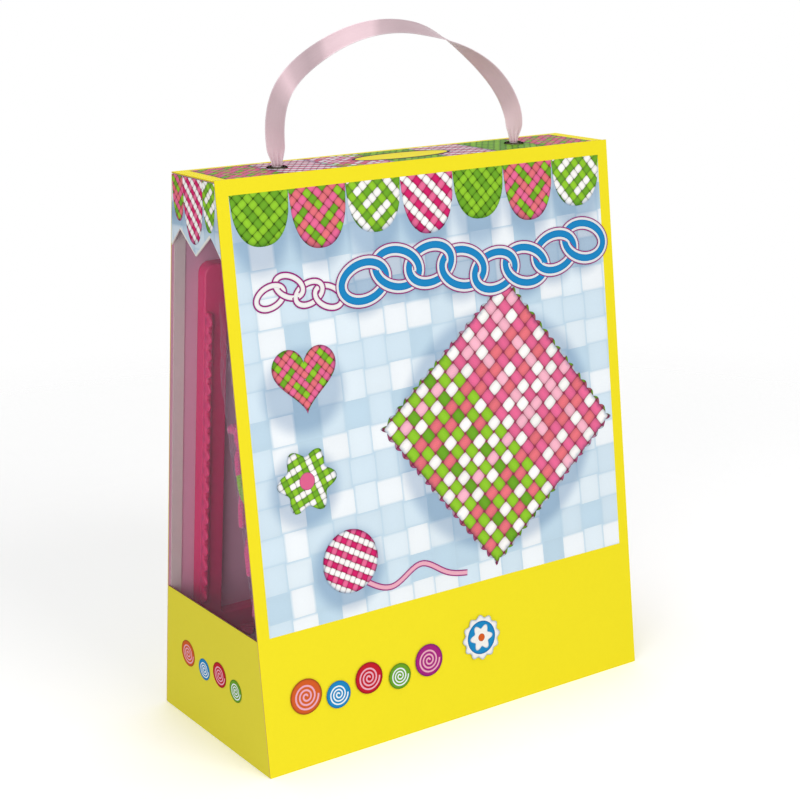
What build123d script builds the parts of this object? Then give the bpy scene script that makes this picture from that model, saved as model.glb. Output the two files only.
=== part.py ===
from build123d import *

import os
from math import atan, cos, sin, sqrt

# A potholder loom kit: a tapered window carton with a ribbon handle, which holds the
# loom, a bag of loops, a weaving hook and an instruction booklet.
# X runs across the front panel, the front faces -Y, and Z is up from the table.

# Carton, over the outside of the card
base_depth = 115.0
top_depth = 44.0
card = 0.8
fold_gap = 0.3
fold_round = 0.5
lid_recess = 0.4
lid_front_gap = 0.4

# Side window, its film and the zigzag edge above it
band_height = 72.5
header_drop = 39.0
zigzag_rise = 12.0
zigzag_half_pitch = 16.0
zigzag_end_rise = 2.2
film = 0.3
film_overlap = 8.0

# Flaps
seam_flap_width = 6.2
seam_flap_end_gap = 4.0
tuck_length = 12.0
tuck_side_inset = 8.0
tuck_lean_run = 2.5
tuck_corner_cut = 6.0
dust_flap_length = 32.0
dust_front_relief = 6.0
dust_back_relief = 1.5
base_tuck_height = 16.0
base_flap_length = 50.0

# Eyelets, washers and the ribbon handle
eyelet_reach = 76.5
eyelet_bore = 6.5
eyelet_wall = 0.45
eyelet_flange = 11.0
eyelet_rise = 0.9
eyelet_rim = 0.35
eyelet_fit = 0.1
eyelet_lip = 0.4
washer_thickness = 0.5
ribbon_width = 10.0
ribbon_thickness = 0.6
ribbon_gathered_width = 5.0
ribbon_gathered_thickness = 1.5
ribbon_gather_length = 15.0
ribbon_pivot_rise = 0.9
ribbon_tail = 1.0
arch_rise = 64.4
ribbon_sections = 37
knot_radius = 4.8
knot_neck = 4.4
knot_tail_length = 9.0
knot_tail_width = 9.0
knot_tail_spread = 1.4

# Loom: one square moulding with a row of pegs along each side
loom_size = 219.0
loom_rail = 14.0
loom_depth = 7.5
loom_wall = 2.0
loom_corner = 6.0
loom_inner_corner = 3.0
loom_left_space = 15.5
loom_right_space = 15.5
loom_head_room = 49.5
peg_count = 18
peg_row_inset = 29.6
peg_height = 7.0
peg_rim_height = 3.5
peg_base = 6.6
peg_root = 3.6
peg_tip = 1.6
peg_tip_depth = 1.2
rest_gap = 0.3

# Platform that lifts the loom and the bag to the window
platform_top = 35.5
platform_lip = 14.0
platform_end_gap = 1.0
platform_side_gap = 1.5

# Bag of loops
bag_gap = 0.8
bag_film = 0.4
bag_height = 204.0
bag_side_gap = 6.7
bag_bottom_half_depth = 7.0
bag_half_depth = 15.5
bag_top_half_depth = 1.4
bag_lean = 15.0
bag_corner_share = 0.9
bag_bottom_width_share = 0.86
bag_top_width_share = 0.95
# Height, width, depth and lean to the loom of each cross-section between the bottom and
# the top, as shares of the bag's height, fullest half width, fullest half depth and lean
bag_section_shares = [
    (0.14, 0.955, 0.88, 0.0),
    (0.50, 1.0, 1.0, 0.05),
    (0.80, 0.975, 0.77, 0.85),
]

# Loops: flattened rings of knitted cotton, packed in the bag
loop_width = 12.0
loop_strand = 5.0
loop_thickness = 4.0
loop_gap = 0.6
loop_columns = 2
loop_fill_share = 0.8
loop_length_share = 0.83

# Weaving hook and instruction booklet, under the platform
hook_thickness = 3.5
hook_shaft_length = 98.0
hook_shaft_width = 5.0
hook_grip_length = 70.0
hook_grip_width = 12.0
hook_head = 7.0
hook_notch_width = 2.4
hook_notch_depth = 4.2
hook_notch_angle = 30.0
booklet_side_gap = 25.0
booklet_front_gap = 15.5
booklet_leaf = 0.5
booklet_spine = 3.0
booklet_leaf_gap = 0.1
staple_length = 12.0
staple_wire = 0.5
staple_reach = 50.0

# Ribbon centreline, left eyelet to right eyelet: X as a share of the eyelets' reach
# and Z as a share of the arch's rise above its pivots
ribbon_path_shares = [
    (-1.0, 0.0),
    (-1.01, 0.22),
    (-0.95, 0.55),
    (-0.68, 0.82),
    (-0.25, 0.98),
    (0.10, 0.985),
    (0.59, 0.76),
    (0.95, 0.34),
    (1.0, 0.16),
    (1.0, 0.0),
]

# The way the ribbon's outer face looks, at shares of its length
ribbon_face_shares = [
    (0.0, (0.0, -1.0, 0.0)),
    (0.07, (-0.30, -0.95, 0.0)),
    (0.16, (-0.57, -0.82, 0.0)),
    (0.34, (-0.40, -0.72, 0.57)),
    (0.50, (0.0, -0.63, 0.78)),
    (0.66, (0.10, 0.32, 0.95)),
    (0.80, (0.55, 0.75, 0.35)),
    (0.90, (0.57, 0.82, 0.0)),
    (0.95, (0.30, 0.95, 0.0)),
    (1.0, (0.0, 1.0, 0.0)),
]

# Sizes and places that follow from those above
carton_width = loom_size + loom_left_space + loom_right_space
carton_height = platform_top + loom_size + loom_head_room
half_width = carton_width / 2
inner_half_width = half_width - card
wall_run = (base_depth - top_depth) / 2
wall_angle = atan(wall_run / carton_height)
card_run = card / cos(wall_angle)
lid_top = carton_height - lid_recess
lid_bottom = lid_top - card
side_top = lid_bottom - fold_gap
flap_x = inner_half_width - fold_gap
loom_shift = (loom_right_space - loom_left_space) / 2
peg_pitch = (loom_size - 2 * peg_row_inset) / (peg_count - 1)
bag_half_width = inner_half_width - bag_side_gap
loop_length = bag_half_width * loop_length_share
booklet_width = carton_width - 2 * booklet_side_gap
booklet_depth = base_depth - 2 * booklet_front_gap


def outer_y(z):
    """Distance from the middle to the outside of the front or back panel at height z."""
    return base_depth / 2 - wall_run * z / carton_height


def inner_y(z):
    """Distance from the middle to the inside of the front or back panel at height z."""
    return outer_y(z) - card_run


def prism_x(outline, x_low, x_high):
    """A solid with an outline of (Y, Z) points, from x_low to x_high."""
    face = Plane.YZ.offset(x_low) * make_face(Polyline(*outline, close=True))
    return extrude(face, amount=x_high - x_low, dir=(1, 0, 0))


def plate_z(outline, z_low, thickness):
    """A level plate with an outline of (X, Y) points."""
    face = Plane.XY.offset(z_low) * make_face(Polyline(*outline, close=True))
    return extrude(face, amount=thickness, dir=(0, 0, 1))


def block(x_low, x_high, y_low, y_high, z_low, z_high):
    """A box between two corners."""
    size = Box(x_high - x_low, y_high - y_low, z_high - z_low)
    return Pos((x_low + x_high) / 2, (y_low + y_high) / 2, (z_low + z_high) / 2) * size


def sloping_wall(side, z_high):
    """The front (side -1) or back (side 1) panel, up to z_high, with rounded folds."""
    outline = [
        (side * outer_y(0), 0),
        (side * inner_y(0), 0),
        (side * inner_y(z_high), z_high),
        (side * outer_y(z_high), z_high),
    ]
    wall = prism_x(outline, -half_width, half_width)
    outside = wall.faces().sort_by(Axis.Y)[0 if side < 0 else -1]
    folds = [edge for edge in outside.edges() if abs(edge.center().X) > inner_half_width]
    return fillet(folds, fold_round)


def side_base():
    """The lower band of a side, between the front and back panels."""
    outline = [
        (-inner_y(0), 0),
        (inner_y(0), 0),
        (inner_y(band_height), band_height),
        (-inner_y(band_height), band_height),
    ]
    return prism_x(outline, inner_half_width, half_width)


def side_header():
    """The upper part of a side, with the zigzag edge of the window."""
    point = side_top - header_drop
    notch = point + zigzag_rise
    end = point + zigzag_end_rise
    outline = [
        (-inner_y(side_top), side_top),
        (-inner_y(end), end),
        (-zigzag_half_pitch, notch),
        (0, point),
        (zigzag_half_pitch, notch),
        (inner_y(end), end),
        (inner_y(side_top), side_top),
    ]
    return prism_x(outline, inner_half_width, half_width)


def window_film():
    """The clear film glued inside a side's window."""
    low = band_height - film_overlap
    high = side_top - header_drop + zigzag_rise + film_overlap
    outline = [
        (-inner_y(low) + fold_gap, low),
        (inner_y(low) - fold_gap, low),
        (inner_y(high) - fold_gap, high),
        (-inner_y(high) + fold_gap, high),
    ]
    return prism_x(outline, inner_half_width - film, inner_half_width)


def seam_flap():
    """The glue flap of the carton's seam, inside the back panel at the left."""
    low = seam_flap_end_gap
    high = side_top - seam_flap_end_gap
    outline = [
        (inner_y(low), low),
        (inner_y(low) - card_run, low),
        (inner_y(high) - card_run, high),
        (inner_y(high), high),
    ]
    edge = -inner_half_width + film + fold_gap
    return prism_x(outline, edge, edge + seam_flap_width)


def base_panel():
    """The panel that closes the bottom, between the four walls."""
    outline = [
        (-inner_y(0), 0),
        (inner_y(0), 0),
        (inner_y(card), card),
        (-inner_y(card), card),
    ]
    return prism_x(outline, -inner_half_width, inner_half_width)


def base_tuck():
    """The base panel's tuck flap, up the inside of the front panel."""
    high = card + base_tuck_height
    outline = [
        (-inner_y(card), card),
        (-inner_y(card) + card_run, card),
        (-inner_y(high) + card_run, high),
        (-inner_y(high), high),
    ]
    reach = inner_half_width - tuck_side_inset
    return prism_x(outline, -reach, reach)


def base_flap():
    """A side flap on top of the base panel."""
    front = -inner_y(card) + card_run + fold_gap
    back = inner_y(2 * card) - fold_gap
    return block(inner_half_width - base_flap_length, inner_half_width, front, back, card, 2 * card)


def lid_front_y():
    """The lid's front edge, just inside the front panel."""
    return -inner_y(lid_bottom) + lid_front_gap


def lid_panel():
    """The lid, with a hole for each eyelet."""
    outline = [
        (lid_front_y(), lid_bottom),
        (outer_y(lid_bottom), lid_bottom),
        (outer_y(lid_bottom), lid_top),
        (lid_front_y(), lid_top),
    ]
    lid = prism_x(outline, -half_width, half_width)
    hole = Cylinder(eyelet_bore / 2 + eyelet_wall + eyelet_fit, 4 * card)
    for side in (-1, 1):
        lid -= Pos(side * eyelet_reach, 0, lid_bottom) * hole
    return lid


def tuck_flap():
    """The lid's tuck flap, which leans inwards from the front panel."""
    drop = sqrt(tuck_length**2 - tuck_lean_run**2)
    top = lid_front_y()
    outline = [
        (top, side_top),
        (top + tuck_lean_run, side_top - drop),
        (top + tuck_lean_run + card, side_top - drop),
        (top + card, side_top),
    ]
    reach = inner_half_width - tuck_side_inset
    shape = [
        (-reach, side_top),
        (-reach, side_top - tuck_corner_cut),
        (-reach + tuck_corner_cut, side_top - tuck_length),
        (reach - tuck_corner_cut, side_top - tuck_length),
        (reach, side_top - tuck_corner_cut),
        (reach, side_top),
    ]
    face = Plane.XZ * make_face(Polyline(*shape, close=True))
    cut_corners = extrude(face, amount=half_width, both=True)
    return prism_x(outline, -reach, reach) & cut_corners


def dust_flap():
    """The right dust flap under the lid, its back edge cut at 45 degrees."""
    front = -inner_y(side_top) + dust_front_relief
    back = outer_y(lid_bottom) - dust_back_relief - card_run
    inner_x = flap_x - dust_flap_length
    outline = [
        (flap_x, front),
        (flap_x, back),
        (inner_x, back - dust_flap_length),
        (inner_x, front),
    ]
    return plate_z(outline, side_top - card, card)


def eyelet(side):
    """A metal eyelet: a rolled flange on the lid and a barrel through it."""
    inner = eyelet_bore / 2
    outer = inner + eyelet_wall
    rim = eyelet_flange / 2
    foot = lid_bottom - washer_thickness - eyelet_lip
    outline = [
        (inner, 0, foot),
        (outer, 0, foot),
        (outer, 0, lid_top),
        (rim, 0, lid_top),
        (rim, 0, lid_top + eyelet_rim),
        ((rim + outer) / 2, 0, lid_top + eyelet_rise),
        (outer, 0, lid_top + eyelet_rise),
        (inner, 0, lid_top + eyelet_rim),
    ]
    profile = make_face(Polyline(*outline, close=True))
    return Pos(side * eyelet_reach, 0, 0) * revolve(profile, Axis.Z)


def eyelet_washer(side):
    """The washer that an eyelet's barrel is set over, under the lid."""
    ring = Circle(eyelet_flange / 2) - Circle(eyelet_bore / 2 + eyelet_wall + eyelet_fit)
    washer = extrude(ring, washer_thickness)
    return Pos(side * eyelet_reach, 0, lid_bottom - washer_thickness) * washer


def pivot_z():
    """Height of the line that the ribbon handle swings about."""
    return lid_top + eyelet_rise + ribbon_pivot_rise


def face_direction(share):
    """The way the ribbon's outer face looks at a share of its length."""
    for (low, before), (high, after) in zip(ribbon_face_shares, ribbon_face_shares[1:]):
        if share <= high:
            mix = (share - low) / (high - low)
            return Vector(*before) * (1 - mix) + Vector(*after) * mix
    return Vector(*ribbon_face_shares[-1][1])


def ribbon_handle():
    """The ribbon from eyelet to eyelet, as ruled stretches between its sections."""
    points = [
        (eyelet_reach * x, 0, pivot_z() + arch_rise * z) for x, z in ribbon_path_shares
    ]
    path = Spline(*points, tangents=[(0, 0, 1), (0, 0, -1)])
    length = path.length
    sections = []
    for index in range(ribbon_sections):
        share = index / (ribbon_sections - 1)
        place = path @ share
        along = path % share
        face = face_direction(share)
        across = along.cross(face).normalized()
        from_end = min(share, 1 - share) * length
        spread = min(1.0, from_end / ribbon_gather_length)
        spread = spread * spread * (3 - 2 * spread)
        width = ribbon_gathered_width + (ribbon_width - ribbon_gathered_width) * spread
        thick = ribbon_gathered_thickness
        thick += (ribbon_thickness - ribbon_gathered_thickness) * spread
        if index in (0, ribbon_sections - 1):
            place = place - Vector(0, 0, ribbon_tail)
        plane = Plane(origin=place, x_dir=across, z_dir=along)
        sections.append(plane * Rectangle(width, thick))
    return loft(sections, ruled=True)


def ribbon_knot(side):
    """The knot under an eyelet, with its neck in the bore and two short tails."""
    foot = lid_bottom - washer_thickness - eyelet_lip
    centre = foot - eyelet_fit - sqrt(knot_radius**2 - (eyelet_bore / 2) ** 2)
    neck_top = pivot_z() - ribbon_tail - rest_gap
    neck = Cylinder(knot_neck / 2, neck_top - centre, align=(Align.CENTER, Align.CENTER, Align.MIN))
    tail = Box(
        knot_tail_width, ribbon_thickness, knot_tail_length + knot_radius / 2,
        align=(Align.CENTER, Align.CENTER, Align.MAX),
    )
    knot = Sphere(knot_radius) + neck
    for turn in (-1, 1):
        knot += Pos(0, turn * knot_tail_spread, -knot_radius / 2) * tail
    return Pos(side * eyelet_reach, 0, centre) * knot


def peg():
    """One loom peg at the origin: its outer face is upright and its tip is thin."""
    root = Pos(0, -peg_root / 2) * Rectangle(peg_base, peg_root)
    tip = Pos(0, -peg_tip_depth / 2, peg_height) * Rectangle(peg_tip, peg_tip_depth)
    return loft([root, tip], ruled=True)


def loom_plane():
    """The loom's back face, parallel to the back panel: Y up it, Z to the front."""
    total = loom_depth + peg_height
    foot_z = platform_top + rest_gap + total * sin(wall_angle)
    foot_y = inner_y(foot_z) - rest_gap / cos(wall_angle)
    across = (1, 0, 0)
    forward = (0, -cos(wall_angle), -sin(wall_angle))
    return Plane(origin=(-loom_shift, foot_y, foot_z), x_dir=across, z_dir=forward)


def loom_frame():
    """The loom: a channel-section square frame and its pegs."""
    opening = loom_size - 2 * loom_rail
    ring = RectangleRounded(loom_size, loom_size, loom_corner)
    ring -= RectangleRounded(opening, opening, loom_inner_corner)
    frame = extrude(ring, loom_depth)
    outer = loom_size - 2 * loom_wall
    inner = opening + 2 * loom_wall
    channel = RectangleRounded(outer, outer, loom_corner - loom_wall)
    channel -= RectangleRounded(inner, inner, loom_inner_corner + loom_wall)
    frame -= extrude(channel, loom_depth - loom_wall)
    row = [
        Pos((index - (peg_count - 1) / 2) * peg_pitch, loom_size / 2, loom_depth) * peg()
        for index in range(peg_count)
    ]
    rim_length = (peg_count - 1) * peg_pitch + peg_base
    rim_place = Pos(0, (loom_size - peg_root) / 2, loom_depth + peg_rim_height / 2)
    row.append(rim_place * Box(rim_length, peg_root, peg_rim_height))
    for turn in range(4):
        frame = frame.fuse(*[Rot(0, 0, 90 * turn) * one for one in row])
    return loom_plane().location * (Pos(0, loom_size / 2) * frame)


def platform():
    """The folded card riser: a deck, two end walls and two lips."""
    reach = inner_half_width - film - platform_end_gap
    depth = inner_y(platform_top) - platform_side_gap
    low = 2 * card
    deck_low = platform_top - card
    riser = block(-reach, reach, -depth, depth, deck_low, platform_top)
    for side in (-1, 1):
        wall_x = sorted((side * reach, side * (reach - card)))
        riser += block(wall_x[0], wall_x[1], -depth, depth, low, deck_low)
        lip_y = sorted((side * depth, side * (depth - card)))
        lip_reach = reach - card
        riser += block(-lip_reach, lip_reach, lip_y[0], lip_y[1], deck_low - platform_lip, deck_low)
    return riser


def bag_middle():
    """Distance from the front panel's inside to the middle of the bag."""
    return bag_gap + bag_half_depth


def bag_plane():
    """The bag's foot on the front panel: Y to the inside, Z up the panel."""
    low_reach = bag_middle() + bag_bottom_half_depth
    foot_z = platform_top + rest_gap + low_reach * sin(wall_angle)
    upward = (0, sin(wall_angle), cos(wall_angle))
    return Plane(origin=(0, -inner_y(foot_z), foot_z), x_dir=(1, 0, 0), z_dir=upward)


def bag_sections(inset):
    """Heights, half widths, half depths and leans of the bag, inset by a thickness."""
    rows = [(inset, bag_half_width * bag_bottom_width_share, bag_bottom_half_depth, 0)]
    for height, width, depth, lean in bag_section_shares:
        row = (bag_height * height, bag_half_width * width, bag_half_depth * depth, bag_lean * lean)
        rows.append(row)
    top_width = bag_half_width * bag_top_width_share
    rows.append((bag_height - inset, top_width, bag_top_half_depth, bag_lean))
    return [(height, width - inset, depth - inset, lean) for height, width, depth, lean in rows]


def bag_form(inset):
    """The closed form of the bag, ruled between its cross-sections."""
    faces = []
    for height, width, depth, lean in bag_sections(inset):
        shape = RectangleRounded(2 * width, 2 * depth, depth * bag_corner_share)
        faces.append(Pos(0, bag_middle() + lean, height) * shape)
    return loft(faces, ruled=True)


def loop_bag():
    """The clear film bag."""
    return bag_plane().location * (bag_form(0) - bag_form(bag_film))


def bag_inside_at(height):
    """The inside half depth and the lean of the bag at a height."""
    rows = bag_sections(bag_film)
    for (low, _, depth, lean), (high, _, next_depth, next_lean) in zip(rows, rows[1:]):
        if height <= high:
            share = max(0, height - low) / (high - low)
            return depth + (next_depth - depth) * share, lean + (next_lean - lean) * share
    return 0, bag_lean


def loops(colour):
    """Every third loop of the packed rings, colour 0, 1 or 2."""
    shape = SlotOverall(loop_length, loop_width)
    shape -= SlotOverall(loop_length - 2 * loop_strand, loop_width - 2 * loop_strand)
    ring = extrude(Plane.XZ * shape, loop_thickness)
    ring = Pos(0, -ring.bounding_box().center().Y, 0) * ring
    pitch = loop_width + loop_gap
    layer_pitch = loop_thickness + loop_gap
    made = []
    row = 0
    foot = bag_film + loop_gap
    while foot + loop_width < bag_height:
        low_room, low_lean = bag_inside_at(foot)
        high_room, high_lean = bag_inside_at(foot + loop_width)
        room = min(low_room, high_room) - (high_lean - low_lean) / 2
        layers = int(2 * room * loop_fill_share / layer_pitch)
        for layer in range(layers):
            y = bag_middle() + (low_lean + high_lean) / 2
            y += (layer - (layers - 1) / 2) * layer_pitch
            for column in range(loop_columns):
                x = (column - (loop_columns - 1) / 2) * (loop_length + loop_gap)
                if (row + layer + column) % 3 == colour:
                    made.append(Pos(x, y, foot + loop_width / 2) * ring)
        foot += pitch
        row += 1
    place = bag_plane().location
    return Compound(children=[(place * one).solid() for one in made])


def weaving_hook():
    """The flat plastic hook: a grip, a shaft and a notched head."""
    shape = Rectangle(hook_shaft_length, hook_shaft_width)
    shape += Pos(-hook_shaft_length / 2, 0) * SlotOverall(hook_grip_length, hook_grip_width)
    head_x = hook_shaft_length / 2
    shape += Pos(head_x, 0) * Circle(hook_head / 2)
    notch = Rectangle(hook_notch_width, hook_notch_depth)
    notch_x = head_x - hook_head / 2 - hook_notch_width / 2
    shape -= Pos(notch_x, hook_shaft_width / 2) * Rot(0, 0, -hook_notch_angle) * notch
    low = 2 * card + 2 * booklet_leaf + rest_gap
    centre = (hook_grip_length - hook_shaft_length / 2) / 2
    return Pos(centre, 0, low) * extrude(shape, hook_thickness)


def booklet():
    """The folded booklet: two leaves joined along a spine."""
    low = 2 * card
    leaf = Box(booklet_width, booklet_depth, booklet_leaf - booklet_leaf_gap / 2)
    spine = Box(booklet_width, booklet_spine, 2 * booklet_leaf)
    body = Pos(0, (booklet_depth - booklet_spine) / 2, 0) * spine
    for side in (-1, 1):
        body += Pos(0, 0, side * (booklet_leaf / 2 + booklet_leaf_gap / 4)) * leaf
    return Pos(0, 0, low + booklet_leaf) * body


def staples():
    """Two wire staples on the booklet's spine."""
    low = 2 * card + 2 * booklet_leaf
    y = (booklet_depth - booklet_spine) / 2
    wire = Box(staple_length, staple_wire, staple_wire, align=(Align.CENTER, Align.CENTER, Align.MIN))
    both = [(Pos(side * staple_reach, y, low) * wire).solid() for side in (-1, 1)]
    return Compound(children=both)


def left(shape):
    """The left twin of a right-hand piece."""
    return mirror(shape, Plane.YZ)


nodes = {
    "front_panel": sloping_wall(-1, carton_height),
    "back_panel": sloping_wall(1, side_top),
    "left_side_base": left(side_base()),
    "right_side_base": side_base(),
    "left_side_header": left(side_header()),
    "right_side_header": side_header(),
    "left_window_film": left(window_film()),
    "right_window_film": window_film(),
    "back_seam_flap": seam_flap(),
    "base_panel": base_panel(),
    "base_tuck_flap": base_tuck(),
    "left_base_flap": left(base_flap()),
    "right_base_flap": base_flap(),
    "insert_platform": platform(),
    "lid_panel": lid_panel(),
    "lid_tuck_flap": tuck_flap(),
    "left_dust_flap": left(dust_flap()),
    "right_dust_flap": dust_flap(),
    "left_eyelet": eyelet(-1),
    "right_eyelet": eyelet(1),
    "left_eyelet_washer": eyelet_washer(-1),
    "right_eyelet_washer": eyelet_washer(1),
    "ribbon_handle": ribbon_handle(),
    "left_ribbon_knot": ribbon_knot(-1),
    "right_ribbon_knot": ribbon_knot(1),
    "loom_frame": loom_frame(),
    "loop_bag": loop_bag(),
    "loops_pink": loops(0),
    "loops_green": loops(1),
    "loops_white": loops(2),
    "weaving_hook": weaving_hook(),
    "instruction_booklet": booklet(),
    "booklet_staples": staples(),
}

os.makedirs("parts", exist_ok=True)
for name, shape in nodes.items():
    export_step(shape, f"parts/{name}.step")

print("lid hinge at y", round(outer_y(lid_bottom), 3), "z", round(lid_bottom, 3))
print("tuck fold at y", round(lid_front_y() + card, 3), "z", round(side_top, 3))
print("dust fold at x", round(flap_x, 3), "z", round(side_top, 3))
print("ribbon pivot at z", round(pivot_z(), 3))
print("loops", [len(nodes[name].solids()) for name in ("loops_pink", "loops_green", "loops_white")])
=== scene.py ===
"""Looks of the potholder loom kit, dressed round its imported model.

Lengths are in millimetres until a mesh is made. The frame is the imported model's: X runs across the
front panel, the front faces -Y, and Z is up from the table.
"""

import logging
from dataclasses import dataclass, field
from enum import Enum
from functools import cached_property
from typing import Any

import bmesh
import bpy
import numpy as np
from mathutils import Matrix


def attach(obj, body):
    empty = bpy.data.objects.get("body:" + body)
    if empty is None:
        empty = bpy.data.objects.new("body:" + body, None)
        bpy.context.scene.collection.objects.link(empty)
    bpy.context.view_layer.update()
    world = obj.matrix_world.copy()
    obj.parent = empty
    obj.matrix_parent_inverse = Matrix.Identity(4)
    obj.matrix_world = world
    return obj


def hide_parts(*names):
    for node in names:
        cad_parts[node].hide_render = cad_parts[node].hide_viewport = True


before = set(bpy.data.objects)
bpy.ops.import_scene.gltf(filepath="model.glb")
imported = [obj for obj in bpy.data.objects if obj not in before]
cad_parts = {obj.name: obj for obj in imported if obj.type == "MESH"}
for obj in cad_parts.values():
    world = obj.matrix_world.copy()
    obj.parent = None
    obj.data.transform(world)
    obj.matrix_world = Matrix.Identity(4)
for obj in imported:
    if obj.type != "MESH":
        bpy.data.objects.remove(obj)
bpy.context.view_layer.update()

LOG = logging.getLogger("loom_kit")
MM = 0.001
TURN = 2 * np.pi
SIDES = {-1: "left", 1: "right"}
Array = np.ndarray
Material = bpy.types.Material
Colour = tuple[float, float, float]
Place = tuple[float, float, float]
Spot = tuple[float, float]


def screen(red: int, green: int, blue: int) -> Colour:
    """Gives the linear colour of an 8-bit screen colour, by the usual curve of computer screens.

    Args:
        red: Red, 0 to 255.
        green: Green, 0 to 255.
        blue: Blue, 0 to 255.

    Returns:
        The colour as a shader reads it.
    """
    share = np.array([red, green, blue]) / 255
    linear = np.where(share <= 0.04045, share / 12.92, ((share + 0.055) / 1.055) ** 2.4)
    return tuple(float(x) for x in linear)


YELLOW = screen(247, 230, 42)
# The sides' yellow is the front's ink made darker and duller: painted shade on the side panels.
SIDE_YELLOW_SHADED = screen(231, 219, 66)
# Inside board: pale board tinted pink, the pink a painted glow of light thrown back from the loom.
BOARD_INSIDE_PINK_GLOW = screen(214, 160, 181)
FLAP_BOARD = screen(214, 203, 195)
PLATFORM_BOARD = screen(206, 186, 188)
BOARD_EDGE = screen(236, 234, 226)
PAPER = screen(238, 238, 234)
# Yellow on folded edges, darker than YELLOW: print wrapping round the fold, with painted shade along the
# crease.
FOLD_PRINT_SHADED = screen(214, 186, 40)
# Dark brown on the side bands' cut edges: a painted shadow line along the window's lower edge.
BAND_SHADOW_LINE = screen(112, 74, 30)
SHADOW_TINT = screen(128, 158, 190)
SKY = screen(213, 231, 243)
SKY_LIGHT = screen(228, 240, 248)
SKY_PALE = screen(243, 248, 252)
SKY_DEEP = screen(195, 219, 235)
HOT_PINK = screen(208, 40, 104)
ROSE = screen(226, 104, 146)
CORAL = screen(224, 112, 122)
BLUSH = screen(242, 178, 196)
WHITE = screen(246, 243, 240)
LIME = screen(142, 196, 50)
LEAF = screen(108, 164, 44)
BLUE = screen(36, 138, 198)
MAGENTA = screen(168, 42, 128)
ORANGE = screen(214, 96, 44)
CRIMSON = screen(196, 34, 48)
NIGHT = screen(60, 44, 46)
LOOM_PINK = screen(218, 24, 102)
COTTON_PINK = screen(222, 92, 140)
COTTON_GREEN = screen(150, 196, 58)
COTTON_WHITE = screen(236, 232, 228)
HOOK_WHITE = screen(238, 234, 226)
DARK_NICKEL = screen(76, 71, 60)
STAPLE_STEEL = screen(190, 190, 190)
FLOOR_PALE = screen(214, 214, 214)


class Sock:
    """A shader value whose arithmetic adds Math nodes."""

    def __init__(self, shader: "Shader", socket: bpy.types.NodeSocket) -> None:
        """Wraps one output socket of a shader."""
        self.shader = shader
        self.socket = socket

    def __add__(self, other: Any) -> "Sock":
        """Returns the sum."""
        return self.shader.maths("ADD", self, other)

    def __sub__(self, other: Any) -> "Sock":
        """Returns the difference."""
        return self.shader.maths("SUBTRACT", self, other)

    def __rsub__(self, other: Any) -> "Sock":
        """Returns the difference with the value second."""
        return self.shader.maths("SUBTRACT", other, self)

    def __mul__(self, other: Any) -> "Sock":
        """Returns the product."""
        return self.shader.maths("MULTIPLY", self, other)

    def __truediv__(self, other: Any) -> "Sock":
        """Returns the quotient."""
        return self.shader.maths("DIVIDE", self, other)

    def __mod__(self, other: Any) -> "Sock":
        """Returns the remainder, never negative."""
        return self.shader.maths("FLOORED_MODULO", self, other)

    def __pow__(self, other: Any) -> "Sock":
        """Returns the power."""
        return self.shader.maths("POWER", self, other)

    def __gt__(self, other: Any) -> "Sock":
        """Returns 1 where the value is greater, or else 0."""
        return self.shader.maths("GREATER_THAN", self, other)

    __radd__ = __add__
    __rmul__ = __mul__


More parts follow.
